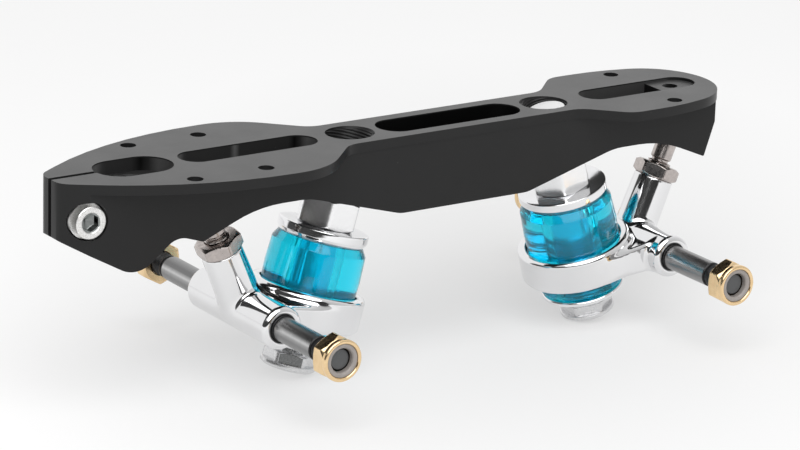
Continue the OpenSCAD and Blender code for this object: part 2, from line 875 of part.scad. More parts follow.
truck(heel) nut_insert(left);  // rear_left_nut_insert
truck(heel) axle_nut(right);  // rear_right_axle_nut
truck(heel) nut_insert(right);  // rear_right_nut_insert
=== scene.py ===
import math

import bmesh
import bpy
import numpy as np
from mathutils import Matrix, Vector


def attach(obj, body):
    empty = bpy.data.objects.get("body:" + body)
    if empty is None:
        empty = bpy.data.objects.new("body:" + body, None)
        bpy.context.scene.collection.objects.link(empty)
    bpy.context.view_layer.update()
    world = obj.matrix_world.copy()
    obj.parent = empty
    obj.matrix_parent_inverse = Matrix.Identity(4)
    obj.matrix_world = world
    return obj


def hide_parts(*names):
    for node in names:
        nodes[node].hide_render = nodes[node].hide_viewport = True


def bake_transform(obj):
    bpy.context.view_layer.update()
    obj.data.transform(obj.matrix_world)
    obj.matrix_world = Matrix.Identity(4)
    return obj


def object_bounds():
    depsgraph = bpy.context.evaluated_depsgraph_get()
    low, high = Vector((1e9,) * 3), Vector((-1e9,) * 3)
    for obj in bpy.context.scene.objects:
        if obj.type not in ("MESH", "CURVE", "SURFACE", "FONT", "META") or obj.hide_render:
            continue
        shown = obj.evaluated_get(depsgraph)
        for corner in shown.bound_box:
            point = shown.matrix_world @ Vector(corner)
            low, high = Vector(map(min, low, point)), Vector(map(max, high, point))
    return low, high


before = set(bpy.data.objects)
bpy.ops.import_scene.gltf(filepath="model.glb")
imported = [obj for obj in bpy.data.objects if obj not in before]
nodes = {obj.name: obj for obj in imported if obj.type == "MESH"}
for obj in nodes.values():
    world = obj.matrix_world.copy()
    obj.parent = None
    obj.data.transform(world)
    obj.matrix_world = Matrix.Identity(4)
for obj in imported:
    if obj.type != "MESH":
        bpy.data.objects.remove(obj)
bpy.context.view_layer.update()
print("frame loaded:", len(nodes), "nodes")

ends = {"front": -1, "rear": 1}
sides = {"left": -1, "right": 1}

# one truck in millimetres, drawn heel-side out from its kingpin hole on the sole;
# stations run down the kingpin from the sole
truck = {
    "holeX": 37.5,
    "kingpinTilt": 16,
    "pivotTilt": 23,
    "axleX": 37.5,
    "axleZ": -51.6,
    "seat": 20.8,
    "hexEnd": 30.2,
    "retainerEnd": 34.3,
    "upperEnd": 55.3,
    "webTop": 55.6,
    "webEnd": 58.6,
    "lowerTop": 58.9,
    "lowerEnd": 67.1,
    "cupEnd": 71.3,
    "adjusterEnd": 77.0,
}


# a frame is an origin and three axes as columns, turned about Y
def tiltedFrame(origin, degrees):
    c, s = math.cos(math.radians(degrees)), math.sin(math.radians(degrees))
    return np.array(origin, float), np.array([[c, 0, s], [0, 1, 0], [-s, 0, c]])


axlePoint = (truck["axleX"], 0, truck["axleZ"])
kingpinFrame = tiltedFrame((0, 0, 0), -truck["kingpinTilt"])
pivotFrame = tiltedFrame(axlePoint, truck["pivotTilt"])
still = (np.zeros(3), np.eye(3))


def axleFrame(side):  # Z out along the axle on that side
    axes = np.array([[1, 0, 0], [0, 0, side], [0, -side, 0]], float)
    return np.array(axlePoint, float), axes


# points of a truck's frame on the part, in metres; the toe end is the mirrored heel end
def placed(points, place, end):
    origin, axes = place
    out = points @ axes.T + origin
    out[:, 0] = end * (truck["holeX"] + out[:, 0])
    return out / 1000


def station(down, end):  # a point on the kingpin's axis
    return placed(np.array([[0.0, 0, -down]]), kingpinFrame, end)[0]


def added(name, data):
    made = bpy.data.objects.new(name, data)
    bpy.context.scene.collection.objects.link(made)
    return made


meshing = {"weld": 2e-7, "sliver": 1e-8, "sharp": 38}


# mesh from arrays: doubles merged, faces turned outward, smooth with sharp edges past the angle
def meshPiece(name, points, faces, sharp=meshing["sharp"]):
    mesh = bpy.data.meshes.new(name)
    mesh.from_pydata(points.tolist(), [], faces)
    work = bmesh.new()
    work.from_mesh(mesh)
    bmesh.ops.remove_doubles(work, verts=work.verts, dist=meshing["weld"])
    bmesh.ops.dissolve_degenerate(work, edges=work.edges, dist=meshing["sliver"])
    bmesh.ops.recalc_face_normals(work, faces=work.faces)
    work.to_mesh(mesh)
    work.free()
    mesh.shade_smooth()
    mesh.set_sharp_from_angle(angle=math.radians(sharp))
    return added(name, mesh)


# corners (radius, height, fillet) joined by straight lines, each corner cut by an arc of its fillet,
# which takes no more than its share of a side
def roundedProfile(corners, closed, arcSteps=5, sideShare=0.49):
    flat = np.array([c[:2] for c in corners], float)
    pieces = []
    for i, (r, z, fillet) in enumerate(corners):
        edge = not closed and i in (0, len(corners) - 1)
        if edge or fillet == 0:
            pieces.append([[r, z]])
            continue
        here = flat[i]
        back = flat[i - 1] - here
        ahead = flat[(i + 1) % len(corners)] - here
        backL, aheadL = np.linalg.norm(back), np.linalg.norm(ahead)
        back, ahead = back / backL, ahead / aheadL
        half = math.acos(np.clip(back @ ahead, -1, 1)) / 2
        take = min(fillet / math.tan(half), sideShare * backL, sideShare * aheadL)
        radius = take * math.tan(half)
        middle = (back + ahead) / np.linalg.norm(back + ahead)
        centre = here + middle * radius / math.sin(half)
        first, last = here + back * take - centre, here + ahead * take - centre
        spread = math.atan2(first[0] * last[1] - first[1] * last[0], first @ last)
        turn = np.linspace(0, spread, arcSteps)[:, None]
        cross = np.array([-first[1], first[0]])
        pieces.append(centre + first * np.cos(turn) + cross * np.sin(turn))
    return np.concatenate(pieces)


# the same line with no step longer than the given one
def dense(profile, step, closed):
    start = profile
    stop = np.roll(profile, -1, axis=0)
    if not closed:
        start, stop = profile[:-1], profile[1:]
    counts = np.maximum(1, np.ceil(np.linalg.norm(stop - start, axis=1) / step)).astype(int)
    before = np.repeat(np.cumsum(counts) - counts, counts)
    share = (np.arange(counts.sum()) - before) / np.repeat(counts, counts)
    out = np.repeat(start, counts, axis=0) + np.repeat(stop - start, counts, axis=0) * share[:, None]
    return out if closed else np.vstack([out, profile[-1:]])


# quads of a grid of rows by sides, closed round the sides and, for a bored piece, from last row to
# first; a ring with a gap has its two cut ends capped instead
def gridFaces(rows, count, closed, gap=False):
    i = np.arange(rows if closed else rows - 1)[:, None]
    j = np.arange(count - 1 if gap else count)[None, :]
    up, over = (i + 1) % rows, (j + 1) % count
    corners = [i * count + j, i * count + over, up * count + over, up * count + j]
    quads = np.stack(corners, axis=-1).reshape(-1, 4).tolist()
    caps = [(np.arange(rows) * count + side).tolist() for side in (0, count - 1)]
    return quads + caps if gap else quads


# a turned surface: at each height and angle it stands at the profile's radius, but no further than the
# hexagon, which is half its width over the soft greatest of the cosines to its six faces, and less the
# thread's triangle wave; flat is the power of that soft greatest, slack and near are tolerances
def turned(corners, closed=False, step=1.2, count=96, hexes=(), threads=(), hexTurn=0,
           flat=44, slack=1e-6, near=1e-3):
    profile = dense(roundedProfile(corners, closed), step, closed)
    angle = np.arange(count) * 2 * np.pi / count
    z = profile[:, 1][:, None] + 0 * angle
    radius = profile[:, 0][:, None] + 0 * angle
    faceAngles = np.arange(6) * np.pi / 3
    facing = np.maximum(np.cos(angle[:, None] - faceAngles - math.radians(hexTurn)), 0)
    hexagon = (facing ** flat).sum(axis=1) ** (-1 / flat)
    for acrossFlats, low, high in hexes:
        held = (z >= low - slack) & (z <= high + slack)
        radius = np.where(held, np.minimum(radius, acrossFlats / 2 * hexagon), radius)
    for depth, pitch, low, high, outer in threads:
        wave = np.abs(((z / pitch - angle / (2 * np.pi)) % 1) * 2 - 1)
        fade = np.clip(np.minimum(z - low, high - z) / pitch, 0, 1)
        held = (np.abs(profile[:, 0][:, None] - outer) < near) & (fade > 0)
        radius = np.where(held, radius - depth * wave * fade, radius)
    points = np.stack([radius * np.cos(angle), radius * np.sin(angle), z], axis=-1).reshape(-1, 3)
    return points, gridFaces(len(profile), count, closed)


def hexRadii(piece):  # of the chamfered face and of the corners
    return piece["acrossFlats"] / 2 * piece["face"], piece["acrossFlats"] / math.sqrt(3)


def lifted(corners, base):
    return [(r, z + base, fillet) for r, z, fillet in corners]


def ballArc(radius, at, start, count):  # a ball's profile from that angle to near its top
    angle = np.linspace(start, math.pi, count)[:-1]
    return [(radius * math.sin(a), at - radius * math.cos(a), 0) for a in angle]


# each piece down to the clamp screw is a profile carried round its axis: corners from the axis back to
# it, or round the section of a bored piece

# kingpin: thread in the plate, hex under it, shank down to a threaded foot
kingpin = {
    "top": {"front": 9, "rear": 2.6}, "threadR": 7.3, "shankR": 6, "pitch": 1.0, "depth": 0.35,
    "topChamfer": 1.1, "acrossFlats": 17.8, "face": 0.97, "turn": 30, "hexChamfer": (0.8, 0.9),
    "footShort": 0.4, "footChamfer": 0.9, "footPitch": 1.25, "footDepth": 0.4, "footThreadUp": 2,
}


def kingpinSurface(top):
    k, t = kingpin, truck
    rim, corner = hexRadii(k)
    hexTop, hexEnd = -t["seat"], -t["hexEnd"]
    foot = -t["adjusterEnd"] + k["footShort"]
    corners = [
        (0, -top, 0), (k["threadR"] - k["topChamfer"], -top, 0.3),
        (k["threadR"], -top - k["topChamfer"], 0.1), (k["threadR"], hexTop, 0),
        (rim, hexTop, 0.2), (corner, hexTop - k["hexChamfer"][0], 0.2),
        (corner, hexEnd + k["hexChamfer"][1], 0.2), (rim, hexEnd, 0.2), (k["shankR"], hexEnd, 0),
        (k["shankR"], foot + k["footChamfer"], 0.2), (k["shankR"] - k["footChamfer"], foot, 0.2),
        (0, foot, 0),
    ]
    threads = [
        (k["depth"], k["pitch"], hexTop, -top, k["threadR"]),
        (k["footDepth"], k["footPitch"], foot, -t["lowerEnd"] + k["footThreadUp"], k["shankR"]),
    ]
    hexes = [(k["acrossFlats"], hexEnd, hexTop)]
    return turned(corners, step=0.3, hexes=hexes, threads=threads, hexTurn=k["turn"])


# upper retainer: washer with an upright rim and a long chamfer under it, bored for the shank
retainer = {"r": 14.6, "bore": 6.25, "chamfer": 1.0, "chamferH": 1.6}


def retainerSurface():
    w, t = retainer, truck
    top, low = -t["hexEnd"], -t["retainerEnd"]
    corners = [
        (w["bore"], top, 0.2), (w["r"], top, 0.35), (w["r"], low + w["chamferH"], 0.2),
        (w["r"] - w["chamfer"], low, 0.2), (w["bore"], low, 0.2),
    ]
    return turned(corners, closed=True, count=128, step=0.8)


# upper bushing: clear barrel with a long chamfer at the top rim
upperBushing = {"r": 15.2, "swell": 0.3, "bore": 6.3, "chamfer": 1.6, "chamferH": 2.6, "foot": 0.8}


def upperBushingSurface():
    b, t = upperBushing, truck
    top, low = -t["retainerEnd"], -t["upperEnd"]
    corners = [
        (b["bore"], top, 0.3), (b["r"] - b["chamfer"], top, 0.5), (b["r"], top - b["chamferH"], 0.8),
        (b["r"] + b["swell"], (top + low) / 2, 6), (b["r"], low + b["foot"], 0.6),
        (b["r"] - b["foot"], low, 0.4), (b["bore"], low, 0.3),
    ]
    return turned(corners, closed=True, count=128)


# lower bushing: short barrel with a chamfer at the foot
lowerBushing = {"r": 14, "bore": 6.3, "chamfer": 1.6}


def lowerBushingSurface():
    b, t = lowerBushing, truck
    top, low = -t["lowerTop"], -t["lowerEnd"]
    corners = [
        (b["bore"], top, 0.3), (b["r"], top, 0.4), (b["r"], low + b["chamfer"], 0.6),
        (b["r"] - b["chamfer"], low, 0.5), (b["bore"], low, 0.3),
    ]
    return turned(corners, closed=True, count=128)


# lower retainer: conical cup washer
cupWasher = {"topR": 13.7, "endR": 9.2, "bore": 6.25, "lip": 1.3, "lipBreak": (0.3, 0.4), "foot": 0.5}


def cupWasherSurface():
    w, t = cupWasher, truck
    top, low = -t["lowerEnd"], -t["cupEnd"]
    corners = [
        (w["bore"], top, 0.2), (w["topR"] - w["lipBreak"][0], top, 0.3),
        (w["topR"], top - w["lipBreak"][1], 0.3), (w["topR"], top - w["lip"], 0.5),
        (w["endR"] + w["foot"], low + w["foot"], 0.6), (w["endR"], low, 0.4), (w["bore"], low, 0.2),
    ]
    return turned(corners, closed=True, count=128, step=0.8)


# adjuster nut: hex with a washer flange under it
adjuster = {
    "acrossFlats": 15, "face": 0.96, "chamfer": 0.7, "hexH": 3.6, "hexShort": 0.02, "bore": 6.05,
    "flangeR": 9, "flangeSlope": 0.1, "flangeEdge": (1.2, 0.8),
}


def adjusterSurface():
    a, t = adjuster, truck
    top = -t["cupEnd"]
    hexEnd, low = top - a["hexH"], -t["adjusterEnd"]
    rim, corner = hexRadii(a)
    corners = [
        (a["bore"], top, 0.2), (rim, top, 0.1), (corner, top - a["chamfer"], 0.2), (corner, hexEnd, 0.1),
        (a["flangeR"], hexEnd - a["flangeSlope"], 0.4), (a["flangeR"], low + a["flangeEdge"][1], 0.5),
        (a["flangeR"] - a["flangeEdge"][0], low, 0.5), (a["bore"], low, 0.3),
    ]
    hexes = [(a["acrossFlats"], hexEnd + a["hexShort"], top)]
    return turned(corners, closed=True, step=0.3, hexes=hexes)


# pivot pin: thread screwed into the hanger's arm, groove, plain neck and ball
pivotPin = {
    "foot": 7.0, "footChamfer": 0.6, "thread": 27.3, "threadR": 4, "threadEdge": (0.4, 0.3),
    "threadOver": 0.6, "pitch": 1.25, "depth": 0.4, "groove": 0.1, "grooveR": 2.8,
    "neck": 28.1, "neckR": 3.5, "neckChamfer": 0.4, "ballAt": 38.4, "ballR": 4.5,
}


def pivotPinSurface():
    p = pivotPin
    foot, thread, neck = p["foot"], p["thread"], p["neck"]
    ball = ballArc(p["ballR"], p["ballAt"], math.asin(p["neckR"] / p["ballR"]), 24)
    corners = [
        (0, foot, 0), (p["threadR"] - p["footChamfer"], foot, 0.1),
        (p["threadR"], foot + p["footChamfer"], 0.1),
        (p["threadR"], thread - p["threadEdge"][1], 0.1),
        (p["threadR"] - p["threadEdge"][0], thread, 0.1),
        (p["grooveR"], thread + p["groove"], 0.1), (p["grooveR"], neck, 0.1),
        (p["neckR"] - p["neckChamfer"], neck, 0.1), (p["neckR"], neck + p["neckChamfer"], 0.1),
        *ball, (0, p["ballAt"] + p["ballR"], 0),
    ]
    threads = [(p["depth"], p["pitch"], foot, thread + p["threadOver"], p["threadR"])]
    return turned(corners, step=0.22, threads=threads)


# pivot locknut: thin hex nut, chamfered on both faces
locknut = {
    "at": 21.8, "h": 4.6, "acrossFlats": 13.4, "face": 0.95, "chamfer": 0.9, "bore": 4.05,
    "turn": {"front": 4, "rear": -14},
}


def locknutSurface(turn):
    n = locknut
    rim, corner = hexRadii(n)
    corners = lifted([
        (n["bore"], 0, 0.2), (rim, 0, 0.15), (corner, n["chamfer"], 0.2),
        (corner, n["h"] - n["chamfer"], 0.2), (rim, n["h"], 0.15), (n["bore"], n["h"], 0.2),
    ], n["at"])
    hexes = [(n["acrossFlats"], n["at"], n["at"] + n["h"])]
    return turned(corners, closed=True, step=0.3, hexes=hexes, hexTurn=turn)


# axle: ground seats with a shoulder in the hanger and black threaded ends behind a relief
axle = {
    "end": 55.5, "plain": 44.5, "core": 23.7, "r": 4, "coreR": 4.2, "coreBreak": 0.15, "edge": 0.3,
    "threadR": 3.8, "pitch": 1.0, "depth": 0.36, "relief": 0.8, "threadFrom": 1.1, "threadShort": 0.2,
    "chamfer": 0.7,
}


def axleSurface():
    a = axle
    core, plain, end = a["core"], a["plain"], a["end"]
    half = [
        (a["coreR"], core - a["coreBreak"], 0), (a["coreR"] - a["coreBreak"], core, 0),
        (a["r"], core, 0), (a["r"], plain - a["edge"], 0.1), (a["r"] - a["edge"], plain, 0.1),
        (a["threadR"] - a["edge"], plain, 0), (a["threadR"] - a["edge"], plain + a["relief"], 0),
        (a["threadR"], plain + a["threadFrom"], 0), (a["threadR"], end - a["chamfer"], 0.1),
        (a["threadR"] - a["chamfer"], end, 0.2), (0, end, 0),
    ]
    corners = [(r, -z, fillet) for r, z, fillet in reversed(half)] + half
    first, last = plain + a["threadFrom"], end - a["threadShort"]
    threads = [(a["depth"], a["pitch"], low, high, a["threadR"])
               for low, high in ((first, last), (-last, -first))]
    return turned(corners, step=0.22, count=64, threads=threads)


# locking nut: hex with chamfers, rolled collar on top that holds the nylon ring
axleNut = {
    "at": 50.5, "h": 7.2, "hexH": 5, "hexShort": 0.02, "acrossFlats": 13, "face": 0.95,
    "chamfer": (0.8, 0.9), "hexTopR": 6.6, "grooveR": 6.4, "groove": (0.15, 0.45),
    "collarR": 6.7, "collarRoll": (1.1, 0.1), "bore": 4.0, "ringR": 5.4, "ringAt": 4.6, "ringDrop": 0.3,
}


def axleNutSurface():
    n = axleNut
    rim, corner = hexRadii(n)
    hexH, h = n["hexH"], n["h"]
    corners = lifted([
        (n["bore"], 0, 0.2), (rim, 0, 0.15), (corner, n["chamfer"][0], 0.2),
        (corner, hexH - n["chamfer"][1], 0.2), (n["hexTopR"], hexH, 0.15),
        (n["grooveR"], hexH + n["groove"][0], 0.1), (n["collarR"], hexH + n["groove"][1], 0.2),
        (n["collarR"], h - n["collarRoll"][1], 0.9), (n["collarR"] - n["collarRoll"][0], h, 0.3),
        (n["ringR"], h - n["ringDrop"], 0.1), (n["ringR"], n["ringAt"], 0), (n["bore"], n["ringAt"], 0),
    ], n["at"])
    hexes = [(n["acrossFlats"], n["at"], n["at"] + hexH - n["hexShort"])]
    return turned(corners, closed=True, step=0.3, hexes=hexes)


# nylon ring: held in the collar, with a chamfered mouth
nylonRing = {"r": 5.35, "bore": 3.85, "low": 4.62, "high": 6.8, "mouth": (0.4, 0.5)}


def nylonRingSurface():
    n = nylonRing
    corners = lifted([
        (n["bore"], n["low"], 0.1), (n["r"], n["low"], 0.1), (n["r"], n["high"], 0.2),
        (n["bore"] + n["mouth"][0], n["high"], 0.3), (n["bore"], n["high"] - n["mouth"][1], 0.2),
    ], axleNut["at"])
    return turned(corners, closed=True, step=0.6, count=64)


# pivot cup: plastic socket in the plate, open towards the hanger
pivotCup = {"face": 34, "h": 9.8, "r": 6.5, "ballR": 4.58, "mouth": 0.4}


def pivotCupSurface():
    c = pivotCup
    face, back, ballAt = c["face"], c["face"] + c["h"], pivotPin["ballAt"]
    ball = ballArc(c["ballR"], ballAt, math.pi / 2, 14)
    corners = [
        (0, ballAt + c["ballR"], 0), *reversed(ball), (c["ballR"], face + c["mouth"], 0.1),
        (c["ballR"] + c["mouth"], face, 0.1), (c["r"], face, 0.3), (c["r"], back, 0.4), (0, back, 0),
    ]
    return turned(corners, step=1.0, count=64)


# clamp screw across the slit nose: round head with a hex socket
clampScrew = {
    "x": -135.9, "z": -11.8, "faceY": -11.5, "headR": 5.7, "headH": 5.6, "headChamfer": 0.9,
    "key": 5, "keyDepth": 2.9, "keyCone": 1.1, "keyMouth": (0.45, 0.4), "keyHexFrom": 0.35,
    "keyHexOver": 0.2, "threadR": 3, "threadL": 15, "tipChamfer": 0.5, "pitch": 1.0, "depth": 0.3,
    "plainTip": 0.3, "plainUnderHead": 2,
}


def clampScrewSurface():
    c = clampScrew
    tip, under = -c["headH"] - c["threadL"], -c["headH"]
    keyR = c["key"] / math.sqrt(3)
    corners = [
        (0, tip, 0), (c["threadR"] - c["tipChamfer"], tip, 0.1),
        (c["threadR"], tip + c["tipChamfer"], 0.1), (c["threadR"], under, 0), (c["headR"], under, 0.3),
        (c["headR"], -c["headChamfer"], 0.1), (c["headR"] - c["headChamfer"], 0, 0.5),
        (keyR + c["keyMouth"][0], 0, 0.1), (keyR, -c["keyMouth"][1], 0), (keyR, -c["keyDepth"], 0),
        (0, -c["keyDepth"] - c["keyCone"], 0),
    ]
    hexes = [(c["key"], -c["keyDepth"] - c["keyHexOver"], -c["keyHexFrom"])]
    first, last = tip + c["plainTip"], under - c["plainUnderHead"]
    threads = [(c["depth"], c["pitch"], first, last, c["threadR"])]
    return turned(corners, step=0.25, hexes=hexes, threads=threads)


holeThread = {
    "tilt": -truck["kingpinTilt"], "bore": 7.34, "outer": 7.7, "floor": -0.5, "lap": 1.2,
    "pitch": 1.0, "depth": 0.35, "gap": 0,
}
toeThread = {
    "x": -115.2, "tilt": 29.3, "bore": 7.94, "outer": 8.3, "floor": -4.6, "low": -29.4,
    "pitch": 1.8, "depth": 0.55, "gap": 2.0,
}


# thread cut in the plate: on the tilted bore the radius is the bore less a triangle wave of height
# and angle, and the ring's top follows a level floor; a gap leaves it open at the slit
def boredThread(t, low, count=96, rows=110):
    c, s = math.cos(math.radians(t["tilt"])), math.sin(math.radians(t["tilt"]))
    half = math.pi - t["gap"] / t["bore"] / 2
    angle = np.linspace(-half, half, count, endpoint=t["gap"] > 0)
    top = (t["floor"] + t["bore"] * np.cos(angle) * s) / c
    z = low + (top - low) * np.linspace(0, 1, rows)[:, None]
    wave = np.abs(((z / t["pitch"] - angle / (2 * np.pi)) % 1) * 2 - 1)
    fade = np.clip(np.minimum(z - low, top - z) / t["pitch"] * 2, 0, 1)
    radius = np.vstack([t["bore"] - t["depth"] * wave * fade, np.full((2, count), t["outer"])])
    z = np.vstack([z, z[-1:], z[:1]])
    x, y = radius * np.cos(angle), radius * np.sin(angle)
    points = np.stack([x * c + z * s, y, z * c - x * s], axis=-1).reshape(-1, 3)
    return points, gridFaces(rows + 2, count, True, t["gap"] > 0)


# shelf in the heel slot
heelShelf = {
    "edgeX": 82.5, "endX": 97.1, "halfW": 6.0, "holeX": 88.4, "holeR": 2.5, "top": -1.0, "low": -4.9,
    "into": 0.05,
}


# a ring between the knock-out hole and the slot's outline, whose reach along each ray from the hole's
# middle is the least of the shelf's edge, the slot's side and its round end
def heelShelfSurface(count=128, tiny=1e-6):
    h = heelShelf
    angle = np.arange(count) * 2 * np.pi / count
    c, s = np.cos(angle), np.sin(angle)
    roundX = h["endX"] - h["halfW"] - h["holeX"]
    side = h["halfW"] / np.maximum(np.abs(s), tiny)
    edge = np.where(c < 0, (h["edgeX"] - h["holeX"]) / np.minimum(c, -tiny), np.inf)
    roundEnd = roundX * c + np.sqrt(h["halfW"] ** 2 - (roundX * s) ** 2)
    outline = np.minimum(edge, np.where(side * c > roundX, roundEnd, side)) + h["into"]
    hole = np.full(count, h["holeR"])
    radius = np.stack([hole, hole, outline, outline])
    z = np.array([h["low"], h["top"], h["top"], h["low"]])[:, None] + 0 * angle
    points = np.stack([h["holeX"] + radius * c, radius * s, z], axis=-1).reshape(-1, 3)
    return points / 1000, gridFaces(4, count, True)


# arithmetic on a socket adds Math nodes
class Socket:
    def __init__(self, graph, socket):
        self.graph, self.socket = graph, socket

    def math(self, operation, first, second=0.0):
        return self.graph.node("ShaderNodeMath", {"operation": operation}, {0: first, 1: second})

    def __add__(self, other): return self.math("ADD", self, other)
    def __radd__(self, other): return self.math("ADD", other, self)
    def __sub__(self, other): return self.math("SUBTRACT", self, other)
    def __rsub__(self, other): return self.math("SUBTRACT", other, self)
    def __mul__(self, other): return self.math("MULTIPLY", self, other)
    def __rmul__(self, other): return self.math("MULTIPLY", other, self)
    def __truediv__(self, other): return self.math("DIVIDE", self, other)
    def __rtruediv__(self, other): return self.math("DIVIDE", other, self)
    def __pow__(self, other): return self.math("POWER", self, other)
    def __rpow__(self, other): return self.math("POWER", other, self)
    def __abs__(self): return self.math("ABSOLUTE", self)
    def __gt__(self, other): return self.math("GREATER_THAN", self, other)
    def __lt__(self, other): return self.math("LESS_THAN", self, other)
    def most(self, other): return self.math("MAXIMUM", self, other)
    def clamped(self): return self.math("MINIMUM", self.most(0.0), 1.0)


class Graph:
    def __init__(self, tree):
        self.tree = tree
        tree.nodes.clear()

    # any node: its type, its settings first, then values or links of its sockets
    def node(self, kind, settings=None, inputs=None, output=0):
        made = self.tree.nodes.new(kind)
        for key, value in (settings or {}).items():
            if key == "stops":
                ramp = made.color_ramp
                while len(ramp.elements) < len(value):
                    ramp.elements.new(0.5)
                for element, (place, colour) in zip(ramp.elements, value):
                    element.position, element.color = place, (*colour, 1)
            else:
                setattr(made, key, value)
        for key, value in (inputs or {}).items():
            if isinstance(value, Socket):
                self.tree.links.new(value.socket, made.inputs[key])
            else:
                made.inputs[key].default_value = value
        return Socket(self, made.outputs[output]) if len(made.outputs) else None

    def place(self):
        return self.node("ShaderNodeTexCoord", output="Object")

    def part(self, vector, axis):
        return self.node("ShaderNodeSeparateXYZ", None, {"Vector": vector}, output=axis)

    def across(self, axis):  # how far along the axis the place is
        return self.part(self.place(), axis)

    def toward(self, axis):  # 1 where the face looks along the axis, -1 where it looks back
        return self.part(self.node("ShaderNodeTexCoord", output="Normal"), axis)

    def within(self, value, span):  # 1 between the two
        return (value > span[0]) * (value < span[1])

    def stretched(self, scale):
        return self.node("ShaderNodeMapping", None, {"Vector": self.place(), "Scale": scale})

    def noise(self, scale, detail, roughness=0.5, where=None):
        inputs = {"Scale": scale, "Detail": detail, "Roughness": roughness}
        return self.node("ShaderNodeTexNoise", None, {"Vector": where or self.place(), **inputs})

    def specks(self, scale, size, patchScale, patchFrom):  # round dots, in patches
        cells = {"Vector": self.place(), "Scale": scale}
        far = self.node("ShaderNodeTexVoronoi", {"feature": "F1"}, cells)
        return (1 - (far / size).clamped()) * (self.noise(patchScale, 1) > patchFrom)

    def span(self, value, low, high, toLow, toHigh):
        inputs = {"Value": value, "From Min": low, "From Max": high, "To Min": toLow, "To Max": toHigh}
        return self.node("ShaderNodeMapRange", None, inputs)

    def spread(self, noise, levels):  # a noise lies mostly between 0.3 and 0.7
        return self.span(noise, 0.3, 0.7, *levels)

    def blend(self, factor, *colours):  # 6 and 7 are the node's two colours
        first, second = [(*c, 1) if isinstance(c, tuple) else c for c in colours]
        inputs = {"Factor": factor, 6: first, 7: second}
        return self.node("ShaderNodeMix", {"data_type": "RGBA"}, inputs, output=2)

    def ramp(self, value, tones):
        stops = [(at, (tone,) * 3) for at, tone in tones]
        return self.node("ShaderNodeValToRGB", {"stops": stops}, {"Fac": value})

    def bump(self, height, distance, strength):
        inputs = {"Height": height, "Distance": distance, "Strength": strength}
        return self.node("ShaderNodeBump", None, inputs)

    def ray(self, kind):  # 1 for a ray of that kind
        return self.node("ShaderNodeLightPath", output=f"Is {kind} Ray")


finishes = {}


def finish(name, constants):
    material = bpy.data.materials.new(name)
    material.use_nodes = True
    finishes[name] = material
    graph = Graph(material.node_tree)

    def shade(**more):
        values = {key.replace("_", " "): value for key, value in more.items()}
        shader = graph.node("ShaderNodeBsdfPrincipled", None, {**constants, **values})
        graph.node("ShaderNodeOutputMaterial", None, {"Surface": shader})

    return graph, shade


# in a look, a noise is its scale, detail and roughness, dust and pits are their scale, size, patch
# scale and patch level, and a bump is its distance and strength
plateLook = {
    "dark": (0.010, 0.010, 0.0102), "pale": (0.015, 0.015, 0.0152), "roughness": (0.30, 0.37),
    "cloud": (55, 3), "grain": (5200, 2), "grainRough": 0.05, "bump": (0.000012, 0.6),
    "dust": (420, 0.07, 150, 0.66), "dustTone": (0.16,) * 3,
    "coat": 0.27, "coatFacing": (0.9, 0.99), "coatLoss": 0.88,  # on the sole, less in its cuts
    # cuts of the sole, in metres
    "slots": {"depth": (-0.0115, -0.0004), "halfW": 0.0085, "midX": 0.0738, "halfL": 0.026},
    "relief": {"depth": (-0.0047, -0.0004), "halfW": 0.0092, "midX": -0.1152, "halfL": 0.0134},
    "middle": {"depth": (-0.05, -0.0004), "halfW": 0.0075, "midX": 0.0, "halfL": 0.028},
    # painted shade: the deep middle slot is painted near black inside
    "middleShade": (0.002,) * 3,
    # painted light and shade on the slot walls, set by the way each wall faces, from those that look at
    # the toe to those that look at the heel
    "toeWalls": [(0.0, 0.060), (0.075, 0.060), (0.2, 0.014), (0.325, 0.001), (0.43, 0.012),
                 (0.5, 0.021), (0.6, 0.035), (0.75, 0.10), (1.0, 0.14)],
    "heelWalls": [(0.0, 0.006), (0.2, 0.008), (0.35, 0.012), (0.47, 0.035), (0.5, 0.046),
                  (0.75, 0.09), (1.0, 0.24)],
    # painted highlight: a pale stripe down the toe slot's wall where a step in it would catch the light
    "stepX": -0.0755, "stepHalf": 0.0017, "stepHighlight": (0.095,) * 3,  # step in the toe slot
}


def inCut(g, cut, along):
    inWidth, inLength = abs(g.across("Y")) < cut["halfW"], abs(along - cut["midX"]) < cut["halfL"]
    return g.within(g.across("Z"), cut["depth"]) * inWidth * inLength


g, shade = finish("blackAnodised", {"IOR": 1.31, "Coat Roughness": 0.26})
cloud, grain = g.noise(*plateLook["cloud"]), g.noise(*plateLook["grain"])
x, looks = g.across("X"), g.toward("X") * 0.5 + 0.5
# painted light and shade on the walls of the toe and heel slots, by the way each wall faces
paintedWalls = g.blend(x > 0, g.ramp(looks, plateLook["toeWalls"]), g.ramp(looks, plateLook["heelWalls"]))
# painted highlight: a pale stripe on the toe slot's wall at the step
step = (1 - abs(x - plateLook["stepX"]) / plateLook["stepHalf"]).clamped()
paintedWalls = g.blend(step, paintedWalls, plateLook["stepHighlight"])
pocket = inCut(g, plateLook["slots"], abs(x)).most(inCut(g, plateLook["relief"], x))
skin = g.blend(cloud, plateLook["dark"], plateLook["pale"])
# painted shade inside the middle slot
skin = g.blend(inCut(g, plateLook["middle"], x), skin, plateLook["middleShade"])
skin = g.blend(pocket, skin, paintedWalls)
coat = g.span(g.toward("Z"), *plateLook["coatFacing"], 0.0, plateLook["coat"])
shade(
    Base_Color=g.blend(g.specks(*plateLook["dust"]), skin, plateLook["dustTone"]),
    Roughness=g.spread(cloud, plateLook["roughness"]) + grain * plateLook["grainRough"],
    Coat_Weight=coat * (1 - pocket * plateLook["coatLoss"]),
    Normal=g.bump(grain, *plateLook["bump"]),
)

